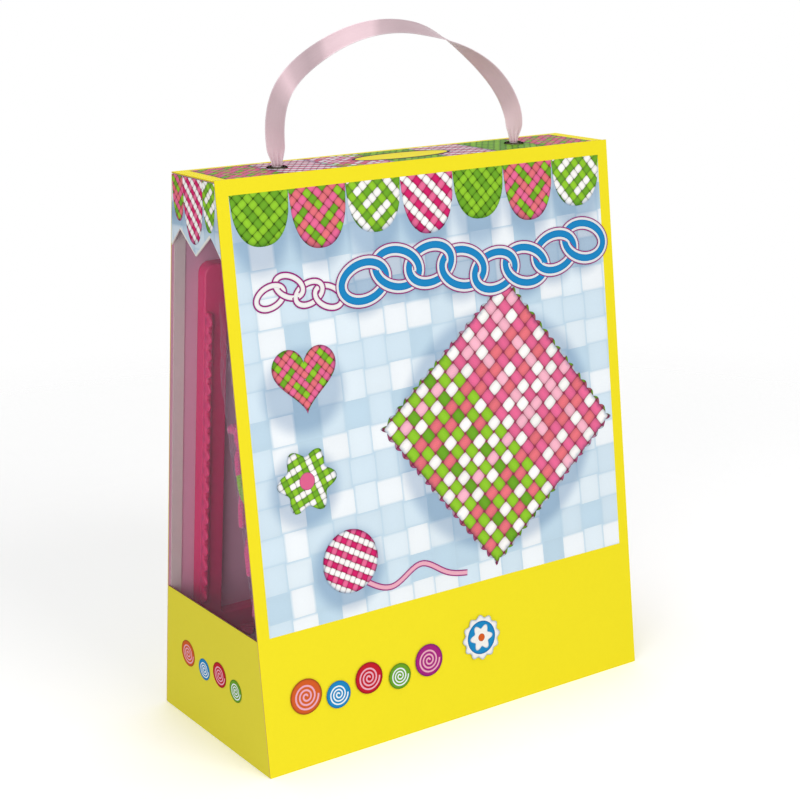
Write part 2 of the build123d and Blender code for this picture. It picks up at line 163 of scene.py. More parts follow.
class Shader:
    """Writes the nodes of one material, or of the world."""

    def __init__(self, name: str, world: bool = False) -> None:
        """Starts it empty.

        Args:
            name: Its name.
            world: Whether it is the world.
        """
        self.made = bpy.data.worlds.new(name) if world else bpy.data.materials.new(name)
        self.made.use_nodes = True
        self.tree = self.made.node_tree
        self.tree.nodes.clear()

    def node(self, kind: str, settings: dict[str, Any], inputs: dict[Any, Any], output: Any = 0) -> Sock:
        """Adds a node.

        Args:
            kind: The node's type.
            settings: Its properties, set first. "stops" holds a ramp's (place, colour) pairs.
            inputs: Values or Socks by the name or number of the socket.
            output: Name or number of the output that is wanted.

        Returns:
            That output.
        """
        made = self.tree.nodes.new(kind)
        for key, value in settings.items():
            if key == "stops":
                self.fill_ramp(made.color_ramp, value)
            else:
                setattr(made, key, value)
        for key, value in inputs.items():
            if isinstance(value, Sock):
                self.tree.links.new(value.socket, made.inputs[key])
            elif isinstance(value, tuple) and len(value) == 3 and made.inputs[key].type == "RGBA":
                made.inputs[key].default_value = (*value, 1)
            else:
                made.inputs[key].default_value = value
        return Sock(self, made.outputs[output])

    def fill_ramp(self, ramp: bpy.types.ColorRamp, stops: list[tuple[float, Colour]]) -> None:
        """Gives a colour ramp its stops, each holding its colour up to the next.

        Args:
            ramp: The ramp.
            stops: The (place, colour) pairs, in order.
        """
        ramp.interpolation = "CONSTANT"
        for index, (place, colour) in enumerate(stops):
            stop = ramp.elements[index] if index < 2 else ramp.elements.new(place)
            stop.position = place
            stop.color = (*colour, 1)
        while len(ramp.elements) > len(stops):
            ramp.elements.remove(ramp.elements[-1])

    def maths(self, operation: str, *values: Any) -> Sock:
        """Returns a Math node's result on those values."""
        return self.node("ShaderNodeMath", {"operation": operation}, dict(enumerate(values)))

    def clamp(self, value: Sock) -> Sock:
        """Returns the value held between 0 and 1."""
        return self.node("ShaderNodeClamp", {}, {0: value})

    def mix(self, share: Any, before: Any, after: Any, blend: str = "MIX") -> Sock:
        """Returns the colour from before to after, by share."""
        settings = {"data_type": "RGBA", "blend_type": blend}
        return self.node("ShaderNodeMix", settings, {0: share, 6: before, 7: after}, 2)

    def tint(self, colour: Any, light: Sock) -> Sock:
        """Returns a colour times a brightness."""
        grey = self.node("ShaderNodeCombineColor", {}, {0: light, 1: light, 2: light})
        return self.mix(1.0, colour, grey, "MULTIPLY")

    def axes(self, vector: Sock) -> tuple[Sock, Sock, Sock]:
        """Returns the three parts of a vector."""
        made = self.node("ShaderNodeSeparateXYZ", {}, {0: vector})
        return tuple(Sock(self, out) for out in made.socket.node.outputs)

    def pair(self, x: Sock, y: Sock) -> Sock:
        """Returns the vector of two values, its third part zero."""
        return self.node("ShaderNodeCombineXYZ", {}, {0: x, 1: y})

    def uv(self) -> Sock:
        """Returns the place on the piece's own pattern."""
        return self.node("ShaderNodeUVMap", {"uv_map": "pattern"}, {})

    def place(self) -> Sock:
        """Returns the place in the piece's own coordinates, in metres."""
        return self.node("ShaderNodeTexCoord", {}, {}, "Object")

    def attribute(self, name: str, output: str) -> Sock:
        """Returns a value that the mesh carries."""
        return self.node("ShaderNodeAttribute", {"attribute_name": name}, {}, output)

    def noise(self, vector: Sock, scale: float, detail: float = 3.0) -> Sock:
        """Returns soft noise between 0 and 1."""
        return self.node("ShaderNodeTexNoise", {}, {"Vector": vector, "Scale": scale, "Detail": detail})

    def bump(self, height: Sock, distance: float, strength: float = 1.0) -> Sock:
        """Returns the normal of a surface raised by a height, distance in metres."""
        values = {"Height": height, "Distance": distance, "Strength": strength}
        return self.node("ShaderNodeBump", {}, values)

    def surface(self, **inputs: Any) -> Sock:
        """Returns a Principled BSDF; underscores in the names stand for spaces."""
        values = {key.replace("_", " "): value for key, value in inputs.items()}
        return self.node("ShaderNodeBsdfPrincipled", {}, values)

    def clear(self, colour: Colour = (1.0, 1.0, 1.0)) -> Sock:
        """Returns a Transparent BSDF, which lets all light through but for its colour."""
        return self.node("ShaderNodeBsdfTransparent", {}, {"Color": colour})

    def blend(self, share: Sock, before: Sock, after: Sock) -> Sock:
        """Returns the shader from before to after, by share."""
        return self.node("ShaderNodeMixShader", {}, {0: share, 1: before, 2: after})

    def finish(self, shader: Sock, kind: str = "Material") -> Any:
        """Makes a shader the surface.

        Args:
            shader: The shader that is seen.
            kind: "Material" or "World".

        Returns:
            The material or the world.
        """
        out = self.tree.nodes.new("ShaderNodeOutput" + kind)
        self.tree.links.new(shader.socket, out.inputs["Surface"])
        return self.made

    def strand_colour(self, number: Sock, colours: tuple[Colour, ...]) -> Sock:
        """Colours numbered strands.

        Args:
            number: The strand's whole number.
            colours: The colours, which repeat from strand to strand.

        Returns:
            The strand's colour.
        """
        count = len(colours)
        stops = [(index / count, colour) for index, colour in enumerate(colours)]
        share = (number % count + 0.5) / count
        return self.node("ShaderNodeValToRGB", {"stops": stops}, {0: share})

    def weave(self, uv: Sock, look: "Weave") -> Sock:
        """Draws a plain weave.

        Each cell of the grid shows the strand on top. Across the strand its light falls with the
        square of the distance from the middle, and towards the cell's ends with the fourth power.

        Args:
            uv: The place, in strands.
            look: The strands' colours and their shading.

        Returns:
            The weave's colour.
        """
        x, y, _ = self.axes(uv)
        column = self.maths("FLOOR", x)
        row = self.maths("FLOOR", y)
        off_x = x - column - 0.5
        off_y = y - row - 0.5
        crossed = (column + row) % 2
        across = self.maths("ABSOLUTE", off_x + crossed * (off_y - off_x))
        along = self.maths("ABSOLUTE", off_y + crossed * (off_x - off_y))
        lengthwise = self.strand_colour(column, look.lengthwise)
        crosswise = self.strand_colour(row, look.crosswise)
        colour = self.mix(crossed, lengthwise, crosswise)
        edge = 0.5 * look.fullness - look.pinch * (along * 2) ** 3
        cover = self.clamp((edge - across) * look.sharpness)
        light = 1 + look.relief * look.crown - look.relief * (across / edge) ** 2 * look.flank
        light = light - look.relief * (along * 2) ** 4 * look.ends
        light = light + self.maths("SINE", along * look.rib_along + across * look.rib_across) * look.rib
        cell = {"Vector": self.pair(column, row)}
        chance = self.node("ShaderNodeTexWhiteNoise", {"noise_dimensions": "2D"}, cell)
        light = light + (chance - 0.5) * look.variety
        return self.mix(cover, look.gap, self.tint(colour, light))


@dataclass(frozen=True)
class Weave:
    """Colours and shading of a woven pattern."""

    lengthwise: tuple[Colour, ...]
    crosswise: tuple[Colour, ...]
    gap: Colour = screen(120, 60, 80)
    fullness: float = 0.98
    pinch: float = 0.08
    sharpness: float = 18.0
    relief: float = 0.62
    crown: float = 0.25
    flank: float = 0.55
    ends: float = 0.5
    rib: float = 0.06
    rib_along: float = 44.0
    rib_across: float = 30.0
    variety: float = 0.12


class Ink(Enum):
    """The woven patterns of the prints."""

    SKY = Weave(
        (SKY, SKY_LIGHT, SKY, SKY_PALE, SKY_DEEP), (SKY_LIGHT, SKY, SKY_PALE, SKY, SKY_PALE, SKY_DEEP),
        gap=SKY_DEEP, fullness=1.02, pinch=0.02, sharpness=9.0, relief=0.07, rib=0.0, variety=0.05)
    GREEN = Weave((LIME, LEAF), (LIME, LEAF, LIME), gap=screen(58, 92, 26))
    PINK_WHITE = Weave((HOT_PINK, WHITE), (WHITE, ROSE), gap=screen(140, 40, 76))
    CORAL_GREEN = Weave((CORAL, LIME, ROSE), (ROSE, CORAL, LEAF), gap=screen(120, 56, 54))
    GREEN_WHITE = Weave((LIME, WHITE, LIME), (WHITE, LEAF), gap=screen(96, 120, 60))
    CLOTH = Weave(
        (ROSE, ROSE, BLUSH, ROSE, ROSE, BLUSH, ROSE, ROSE, LIME, LIME, LEAF, LIME, LIME, LEAF, LIME, LIME),
        (WHITE, CORAL, WHITE, CORAL, CORAL, WHITE, BLUSH, WHITE), gap=screen(150, 58, 84))


@dataclass
class Patch:
    """A surface worked out on a grid of two parameters."""

    points: Array
    uv: Array | None = None
    shade: Array | float = 0.0
    colour: Colour = (1.0, 1.0, 1.0)
    finish: int = 0

    @property
    def size(self) -> tuple[int, int]:
        """The grid's rows and columns."""
        return self.points.shape[:2]

    def quads(self) -> Array:
        """Numbers the corners of the grid's faces.

        Returns:
            Four numbers for each face, rows first.
        """
        rows, columns = self.size
        start = np.arange(rows - 1)[:, None] * columns + np.arange(columns - 1)[None, :]
        return np.stack([start, start + 1, start + columns + 1, start + columns], -1).reshape(-1, 4)

    def flat_uv(self) -> Array:
        """Returns the pattern's place at each point, which is zero where none is given."""
        return (np.zeros(self.size + (2,)) if self.uv is None else self.uv).reshape(-1, 2)

    def flat_shade(self) -> Array:
        """Returns the shade at each point."""
        return np.broadcast_to(self.shade, self.size).ravel()

    def flat_ink(self) -> Array:
        """Returns the flat colour at each point."""
        return np.tile((*self.colour, 1.0), (self.size[0] * self.size[1], 1))


def between(low: float, high: float, count: int) -> Array:
    """Returns evenly spaced values from low to high."""
    return np.linspace(low, high, count)


def grid(rows: Array, columns: Array) -> tuple[Array, Array]:
    """Returns the two parameters at each point of a grid, rows first."""
    return np.meshgrid(rows, columns, indexing="ij")


def smooth_step(share: Array) -> Array:
    """Returns 0 to 1 with level ends, for a share that is held between 0 and 1."""
    held = np.clip(share, 0, 1)
    return held * held * (3 - 2 * held)


def unit(vectors: Array) -> Array:
    """Returns the vectors with a length of one."""
    return vectors / np.maximum(np.linalg.norm(vectors, axis=-1, keepdims=True), 1e-12)


def chance(draw: np.random.Generator, reach: float) -> float:
    """Returns a value drawn between -reach and reach."""
    return draw.uniform(-reach, reach)


def lengths(path: Array) -> Array:
    """Returns how far along a path each of its points lies."""
    return np.concatenate([[0], np.cumsum(np.linalg.norm(np.diff(path, axis=0), axis=1))])


def turned(flat: Array, degrees: float) -> Array:
    """Returns flat (across, up) points turned about the origin, by the angle's cosine and sine."""
    c, s = np.cos(np.radians(degrees)), np.sin(np.radians(degrees))
    return np.stack([flat[..., 0] * c - flat[..., 1] * s, flat[..., 0] * s + flat[..., 1] * c], -1)


def round_the_ring(path: Array) -> Array:
    """Returns the way that a closed path runs at each point: from the one before to the one after."""
    along = unit(np.roll(path[:-1], -1, axis=0) - np.roll(path[:-1], 1, axis=0))
    return np.concatenate([along, along[:1]])


def squared(angle: Array) -> Array:
    """Returns how far out |x|^4 + |y|^4 = 1, a square with round corners, lies at each angle."""
    return (np.abs(np.cos(angle)) ** 4 + np.abs(np.sin(angle)) ** 4) ** -0.25


def pattern(across: Array, along: Array) -> Array:
    """Returns a pattern's two coordinates at each point of a grid."""
    return np.stack(np.broadcast_arrays(across, along), -1)


def spline(points: Array, count: int) -> Array:
    """Lays a natural cubic spline through points, by the length of their chords.

    Args:
        points: The points that it goes through.
        count: How many points to return, evenly spaced along its length.

    Returns:
        The points of the curve.
    """
    fine_steps = 40
    knots = lengths(points)
    step = np.diff(knots)
    size = len(points)
    system = np.eye(size)
    right = np.zeros((size, points.shape[1]))
    inner = np.arange(1, size - 1)
    system[inner, inner - 1] = step[:-1]
    system[inner, inner] = 2 * (step[:-1] + step[1:])
    system[inner, inner + 1] = step[1:]
    slope = np.diff(points, axis=0) / step[:, None]
    right[inner] = 6 * np.diff(slope, axis=0)
    bend = np.linalg.solve(system, right)
    fine = between(0, knots[-1], fine_steps * size)
    at = np.clip(np.searchsorted(knots, fine, side="right") - 1, 0, size - 2)
    left, span = (fine - knots[at])[:, None], step[at][:, None]
    rest = span - left
    curve = (bend[at] * rest**3 + bend[at + 1] * left**3) / (6 * span)
    curve += (points[at] / span - bend[at] * span / 6) * rest
    curve += (points[at + 1] / span - bend[at + 1] * span / 6) * left
    travel = lengths(curve)
    even = between(0, travel[-1], count)
    return np.stack([np.interp(even, travel, curve[:, k]) for k in range(points.shape[1])], 1)


def tube(centre: Array, side: Array, wide: float, thick: float, around: int) -> Array:
    """Carries an ellipse along a path: centre + width cos(t) side + thickness sin(t) normal.

    Args:
        centre: The path's points.
        side: The way of the ellipse's width at each point.
        wide: Half the width.
        thick: Half the thickness.
        around: Faces round the tube.

    Returns:
        The points on a grid, along the path and round it.
    """
    along = unit(np.gradient(centre, axis=0))
    side = unit(side - along * np.sum(side * along, axis=1, keepdims=True))
    normal = np.cross(along, side)
    angle = between(0, TURN, around + 1)[None, :, None]
    return centre[:, None] + wide * np.cos(angle) * side[:, None] + thick * np.sin(angle) * normal[:, None]


def spun(outline: Array, x: float, around: int = 48) -> Array:
    """Turns an outline of (radius, height) points about an upright line.

    Args:
        outline: Its points.
        x: Where the line stands, across the carton.
        around: Faces round it.

    Returns:
        The points on a grid, round the line and along the outline.
    """
    angle, row = grid(between(0, TURN, around + 1), np.arange(len(outline)))
    radius, z = outline[row, 0], outline[row, 1]
    return np.stack([x + radius * np.cos(angle), radius * np.sin(angle), z], -1)


def build(
    name: str,
    patches: list[Patch],
    finishes: list[Material],
    body: str,
    outward: Place | None = None,
    crease: float = 40.0,
) -> bpy.types.Object:
    """Makes one piece of patches and lets it ride on a body.

    Args:
        name: The piece's name.
        patches: Its surfaces, in millimetres.
        finishes: Its materials, which the patches name by number.
        body: The body it rides on.
        outward: The way that an open sheet faces. A closed piece has None.
        crease: The angle in degrees above which an edge stays sharp.

    Returns:
        The object.
    """
    merge_reach, shortest_edge = 1e-6, 1e-7
    starts = np.cumsum([0] + [patch.size[0] * patch.size[1] for patch in patches])
    points = np.concatenate([patch.points.reshape(-1, 3) for patch in patches]) * MM
    grids = []
    for patch, start in zip(patches, starts):
        quads = patch.quads() + start
        if outward is not None:
            corners = points[quads]
            facing = np.cross(corners[:, 2] - corners[:, 0], corners[:, 3] - corners[:, 1]) @ outward
            quads = quads if facing.sum() > 0 else quads[:, ::-1]
        grids.append(quads)
    which = np.concatenate([np.full(len(quads), patch.finish) for patch, quads in zip(patches, grids)])
    faces = np.concatenate(grids)
    mesh = bpy.data.meshes.new(name)
    mesh.from_pydata(points.tolist(), [], faces.tolist())
    uv = np.concatenate([patch.flat_uv() for patch in patches])[faces.ravel()].astype(np.float32)
    shade = np.concatenate([patch.flat_shade() for patch in patches]).astype(np.float32)
    ink = np.concatenate([patch.flat_ink() for patch in patches]).astype(np.float32)
    mesh.uv_layers.new(name="pattern").data.foreach_set("uv", uv.ravel())
    mesh.attributes.new("shade", "FLOAT", "POINT").data.foreach_set("value", shade)
    mesh.attributes.new("ink", "FLOAT_COLOR", "POINT").data.foreach_set("color", ink.ravel())
    mesh.polygons.foreach_set("material_index", which.astype(np.int32))
    mesh.polygons.foreach_set("use_smooth", np.ones(len(faces), bool))
    work = bmesh.new()
    work.from_mesh(mesh)
    bmesh.ops.remove_doubles(work, verts=work.verts, dist=merge_reach)
    bmesh.ops.dissolve_degenerate(work, edges=work.edges, dist=shortest_edge)
    if outward is None:
        bmesh.ops.recalc_face_normals(work, faces=work.faces)
    work.to_mesh(mesh)
    work.free()
    mesh.set_sharp_from_angle(angle=np.radians(crease))
    for material in finishes:
        mesh.materials.append(material)
    piece = bpy.data.objects.new(name, mesh)
    bpy.context.scene.collection.objects.link(piece)
    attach(piece, body)
    LOG.info("%s: %d faces on %s", name, len(mesh.polygons), body)
    return piece


def cover(node: str, material: Material) -> None:
    """Gives a kept node its material.

    Args:
        node: The node's name.
        material: What it is made of.
    """
    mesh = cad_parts[node].data
    mesh.materials.clear()
    mesh.materials.append(material)


# Finishes


@dataclass(frozen=True)
class Print:
    """Varnished ink on card: a woven pattern, or flat inks that the mesh carries."""

    name: str
    look: Weave | None = None
    grain_scale: float = 900.0
    least_light: float = 0.985
    grain_light: float = 0.03
    rough: float = 0.34
    grain_rough: float = 0.08
    gleam: float = 0.01

    def make(self) -> Material:
        """Makes the print. The mesh's shade darkens it towards a cool grey.

        Returns:
            The material.
        """
        made = Shader(self.name)
        ink = made.weave(made.uv(), self.look) if self.look else made.attribute("ink", "Color")
        shade = made.attribute("shade", "Fac")
        grain = made.noise(made.place(), self.grain_scale)
        ink = made.mix(shade, ink, made.mix(1.0, ink, SHADOW_TINT, "MULTIPLY"))
        return made.finish(made.surface(
            Base_Color=made.tint(ink, self.least_light + grain * self.grain_light),
            Roughness=self.rough + grain * self.grain_rough, Specular_IOR_Level=self.gleam))


@dataclass(frozen=True)
class Card:
    """Folding carton board: printed on its outside, bare board inside, and its edges in an edge colour: pale
    card, or painted shade.
    """

    name: str
    out: Place
    reach: float
    printed: Colour = YELLOW
    edge: Colour = BOARD_EDGE
    thickness: float = 0.8
    skin: float = 0.15
    fibre_scale: float = 420.0
    fibre_detail: float = 5.0
    cloud_scale: float = 14.0
    fibre_height: float = 0.00004
    bare_rough: float = 0.75
    varnish: float = 0.38
    fibre_rough: float = 0.06
    gleam: float = 0.01

    def make(self) -> Material:
        """Makes the card. The distance along the outward way tells outside, edge and inside apart.

        Returns:
            The material.
        """
        made = Shader(self.name)
        place = made.place()
        ways = {0: place, 1: self.out}
        along = made.node("ShaderNodeVectorMath", {"operation": "DOT_PRODUCT"}, ways, "Value")
        depth = along * (1 / MM) - self.reach
        fibre = made.noise(place, self.fibre_scale, self.fibre_detail)
        cloud = made.noise(place, self.cloud_scale)
        # The inside face takes the pink-tinted board: a painted glow of the loom's light.
        board = made.tint(BOARD_INSIDE_PINK_GLOW, 0.93 + fibre * 0.08 + cloud * 0.05)
        outside = made.tint(self.printed, 0.985 + fibre * 0.03)
        colour = made.mix(depth > self.skin - self.thickness, board, self.edge)
        colour = made.mix(depth > -self.skin, colour, outside)
        rough = made.clamp(self.bare_rough - (depth > -self.skin) * self.varnish + fibre * self.fibre_rough)
        normal = made.bump(fibre, self.fibre_height, 0.35)
        return made.finish(made.surface(
            Base_Color=colour, Roughness=rough, Normal=normal, Specular_IOR_Level=self.gleam))


@dataclass(frozen=True)
class Board:
    """Bare carton board, the same on both faces, with fibres and slow clouds in its colour."""

    name: str
    colour: Colour = BOARD_INSIDE_PINK_GLOW
    fibre_scale: float = 380.0
    fibre_detail: float = 6.0
    cloud_scale: float = 12.0
    fibre_height: float = 0.00006
    rough: float = 0.8

    def make(self) -> Material:
        """Makes the board.

        Returns:
            The material.
        """
        made = Shader(self.name)
        place = made.place()
        fibre = made.noise(place, self.fibre_scale, self.fibre_detail)
        cloud = made.noise(place, self.cloud_scale)
        colour = made.tint(self.colour, 0.9 + fibre * 0.12 + cloud * 0.08)
        normal = made.bump(fibre, self.fibre_height, 0.4)
        return made.finish(made.surface(Base_Color=colour, Roughness=self.rough + fibre * 0.1, Normal=normal))


@dataclass(frozen=True)
class Film:
    """Clear plastic film, with a faint haze and a gloss that grows at a glancing angle."""

    name: str
    haze: float
    gloss: float
    ripple: float
    ripple_scale: float
    ripple_height: float = 0.001
    colour: Colour = screen(228, 214, 232)
    seen_through: Colour = screen(254, 253, 255)

    def make(self) -> Material:
        """Makes the film: clear where the mix is 0, and glossy where it is 1.

        Returns:
            The material.
        """
        made = Shader(self.name)
        wave = made.noise(made.place(), self.ripple_scale, 2.0)
        normal = made.bump(wave, self.ripple_height, self.ripple)
        edge_on = made.node("ShaderNodeLayerWeight", {}, {"Blend": 0.5, "Normal": normal}, "Facing")
        share = made.clamp(self.haze + edge_on**3 * self.gloss)
        film = made.surface(Base_Color=self.colour, Metallic=0.6, Roughness=0.07, Normal=normal)
        return made.finish(made.blend(share, made.clear(self.seen_through), film))


@dataclass(frozen=True)
class Satin:
    """Satin ribbon: a smooth face with fine crosswise threads, a woven selvage and painted bands of sheen."""

    name: str
    colour: Colour = screen(208, 180, 187)
    selvage: Colour = screen(232, 212, 219)
    selvage_start: float = 0.9
    selvage_edge: float = 12.0
    selvage_cords: float = 150.0
    threads: float = 21.0
    thread_height: float = 0.00005
    rough: float = 0.36

    def make(self) -> Material:
        """Makes the satin.

        The pattern runs across in -1 to 1 and along in millimetres. The mesh's shade is a painted sheen:
        light and dark bands in the colour.

        Returns:
            The material.
        """
        made = Shader(self.name)
        across, along, _ = made.axes(made.uv())
        edge = made.clamp((made.maths("ABSOLUTE", across) - self.selvage_start) * self.selvage_edge)
        streak = made.noise(made.pair(across * 9, along * 0.12), 1.0, 2.0)
        thread = made.maths("SINE", along * self.threads)
        cord = made.maths("SINE", across * self.selvage_cords)
        painted_sheen = made.attribute("shade", "Fac")
        colour = made.mix(edge, self.colour, self.selvage)
        colour = made.tint(colour, 0.92 + streak * 0.12 + thread * 0.015 + painted_sheen)
        height = thread * 0.3 + edge * 1.2 + edge * cord * 0.6
        return made.finish(made.surface(
            Base_Color=colour, Roughness=self.rough + streak * 0.12,
            Normal=made.bump(height, self.thread_height, 0.5),
            Sheen_Weight=0.3, Sheen_Roughness=0.35, Anisotropic=0.6, Specular_IOR_Level=0.6))


@dataclass(frozen=True)
class Moulding:
    """Injection-moulded plastic, softly uneven."""

    name: str
    colour: Colour
    rough: float = 0.3
    soft: float = 0.12
    soft_reach: Place = (0.004, 0.0015, 0.002)
    flow_scale: float = 30.0
    grain_scale: float = 1400.0
    flow_height: float = 0.0003

    def make(self) -> Material:
        """Makes the plastic.

        Returns:
            The material.
        """
        made = Shader(self.name)
        place = made.place()
        flow = made.noise(place, self.flow_scale)
        grain = made.noise(place, self.grain_scale, 2.0)
        colour = made.tint(self.colour, 0.94 + flow * 0.12)
        normal = made.bump(flow + grain * 0.05, self.flow_height, 0.15)
        return made.finish(made.surface(
            Base_Color=colour, Roughness=self.rough + grain * 0.1, Normal=normal, IOR=1.46,
            Subsurface_Weight=self.soft, Subsurface_Radius=self.soft_reach, Coat_Weight=0.1))


@dataclass(frozen=True)
class Knit:
    """Knitted cotton: rows of small V stitches along the loop."""

    name: str
    colour: Colour
    ribs: int = 4
    stitches: float = 4.2
    slant: float = 1.3
    fuzz_scale: float = 1500.0
    stitch_height: float = 0.0003

    def make(self) -> Material:
        """Makes the knit. The pattern runs round the tube in 0 to 1, and along in millimetres.

        Returns:
            The material.
        """
        made = Shader(self.name)
        around, along, _ = made.axes(made.uv())
        rib = made.maths("SINE", around * (self.ribs * TURN))
        stitch = made.maths("SINE", along * self.stitches + rib * self.slant)
        fuzz = made.noise(made.place(), self.fuzz_scale, 2.0)
        height = rib * 0.35 + stitch * 0.5
        # The colour follows the stitch height, darker in the hollows: painted shade between the stitches.
        colour = made.tint(self.colour, 0.86 + height * 0.12 + fuzz * 0.2)
        return made.finish(made.surface(
            Base_Color=colour, Roughness=0.85 + fuzz * 0.1,
            Normal=made.bump(height + fuzz, self.stitch_height, 0.8),
            Sheen_Weight=0.35, Sheen_Roughness=0.5))


@dataclass(frozen=True)
class Metal:
    """Plated metal with fine handling marks."""

    name: str
    colour: Colour
    rough: float
    edge_tint: Colour = (1.0, 1.0, 1.0)
    mark_scale: float = 700.0
    mark_height: float = 0.00005

    def make(self) -> Material:
        """Makes the metal.

        Returns:
            The material.
        """
        made = Shader(self.name)
        mark = made.noise(made.place(), self.mark_scale, 4.0)
        colour = made.tint(self.colour, 0.85 + mark * 0.3)
        return made.finish(made.surface(
            Base_Color=colour, Metallic=1.0, Roughness=self.rough + mark * 0.14,
            Normal=made.bump(mark, self.mark_height, 0.3), Specular_Tint=(*self.edge_tint, 1.0)))


# The carton's panels


@dataclass(frozen=True)
class Panel:
    """One flat face of the carton, with its own axes on the outside of the card."""

    origin: Place
    across: Place
    up: Place
    out: Place

    def at(self, flat: Array, lift: Any) -> Array:
        """Places flat (across, up) points on the panel.

        Args:
            flat: Points in the panel's own axes.
            lift: How far above the card they lie.

        Returns:
            The points in the frame.
        """
        across, up, out = (np.array(way) for way in (self.across, self.up, self.out))
        lift = np.broadcast_to(np.asarray(lift, float), flat.shape[:-1])[..., None]
        return np.array(self.origin) + flat[..., :1] * across + flat[..., 1:2] * up + lift * out


@dataclass(frozen=True)
class CartonForm:
    """Sizes of the carton, as in the solids."""

    width: float = 250.0
    height: float = 304.0
    base_depth: float = 115.0
    top_depth: float = 44.0
    lid_top: float = 303.6
    side_top: float = 302.5
    zig_point: float = 263.5
    zig_notch: float = 275.5
    zig_end: float = 265.7
    zig_reach: float = 16.0

    @property
    def lean(self) -> float:
        """The angle that the front and back lean in by, in radians."""
        return float(np.arctan((self.base_depth - self.top_depth) / 2 / self.height))

    def depth_at(self, z: Any) -> Any:
        """Returns the distance from the middle to the outside of the front or back at height z."""
        return self.base_depth / 2 - (self.base_depth - self.top_depth) / 2 * z / self.height

    def face(self, way: int) -> Panel:
        """Returns the front (-1) or back (1) panel, seen from outside."""
        s, c = float(np.sin(self.lean)), float(np.cos(self.lean))
        return Panel((0, way * self.base_depth / 2, 0), (-way, 0, 0), (0, -way * s, c), (0, way * c, s))

    def inside(self, way: int, foot_y: float, foot_z: float) -> Panel:
        """Returns a plane that leans with the front (-1) or the back (1) and faces into the carton."""
        s, c = float(np.sin(self.lean)), float(np.cos(self.lean))
        return Panel((0, foot_y, foot_z), (1, 0, 0), (0, -way * s, c), (0, -way * c, -s))

    def side(self, way: int) -> Panel:
        """Returns the left (-1) or right (1) side, seen from outside."""
        return Panel((way * self.width / 2, 0, 0), (0, way, 0), (0, 0, 1), (way, 0, 0))

    def lid(self) -> Panel:
        """Returns the lid, with up towards the back."""
        return Panel((0, 0, self.lid_top), (1, 0, 0), (0, 1, 0), (0, 0, 1))


def wave_row(left: float, right: float, count: int, height: float, swing: float, waves: float) -> Array:
    """Sets places in a row that rises and falls: height + swing sin t, with t from 0 to waves.

    Args:
        left: Where the first one stands.
        right: Where the last one stands.
        count: How many.
        height: The row's height.
        swing: How far it rises and falls.
        waves: How far the wave runs, in radians.

    Returns:
        The places.
    """
    return np.stack([between(left, right, count), height + swing * np.sin(between(0, waves, count))], -1)


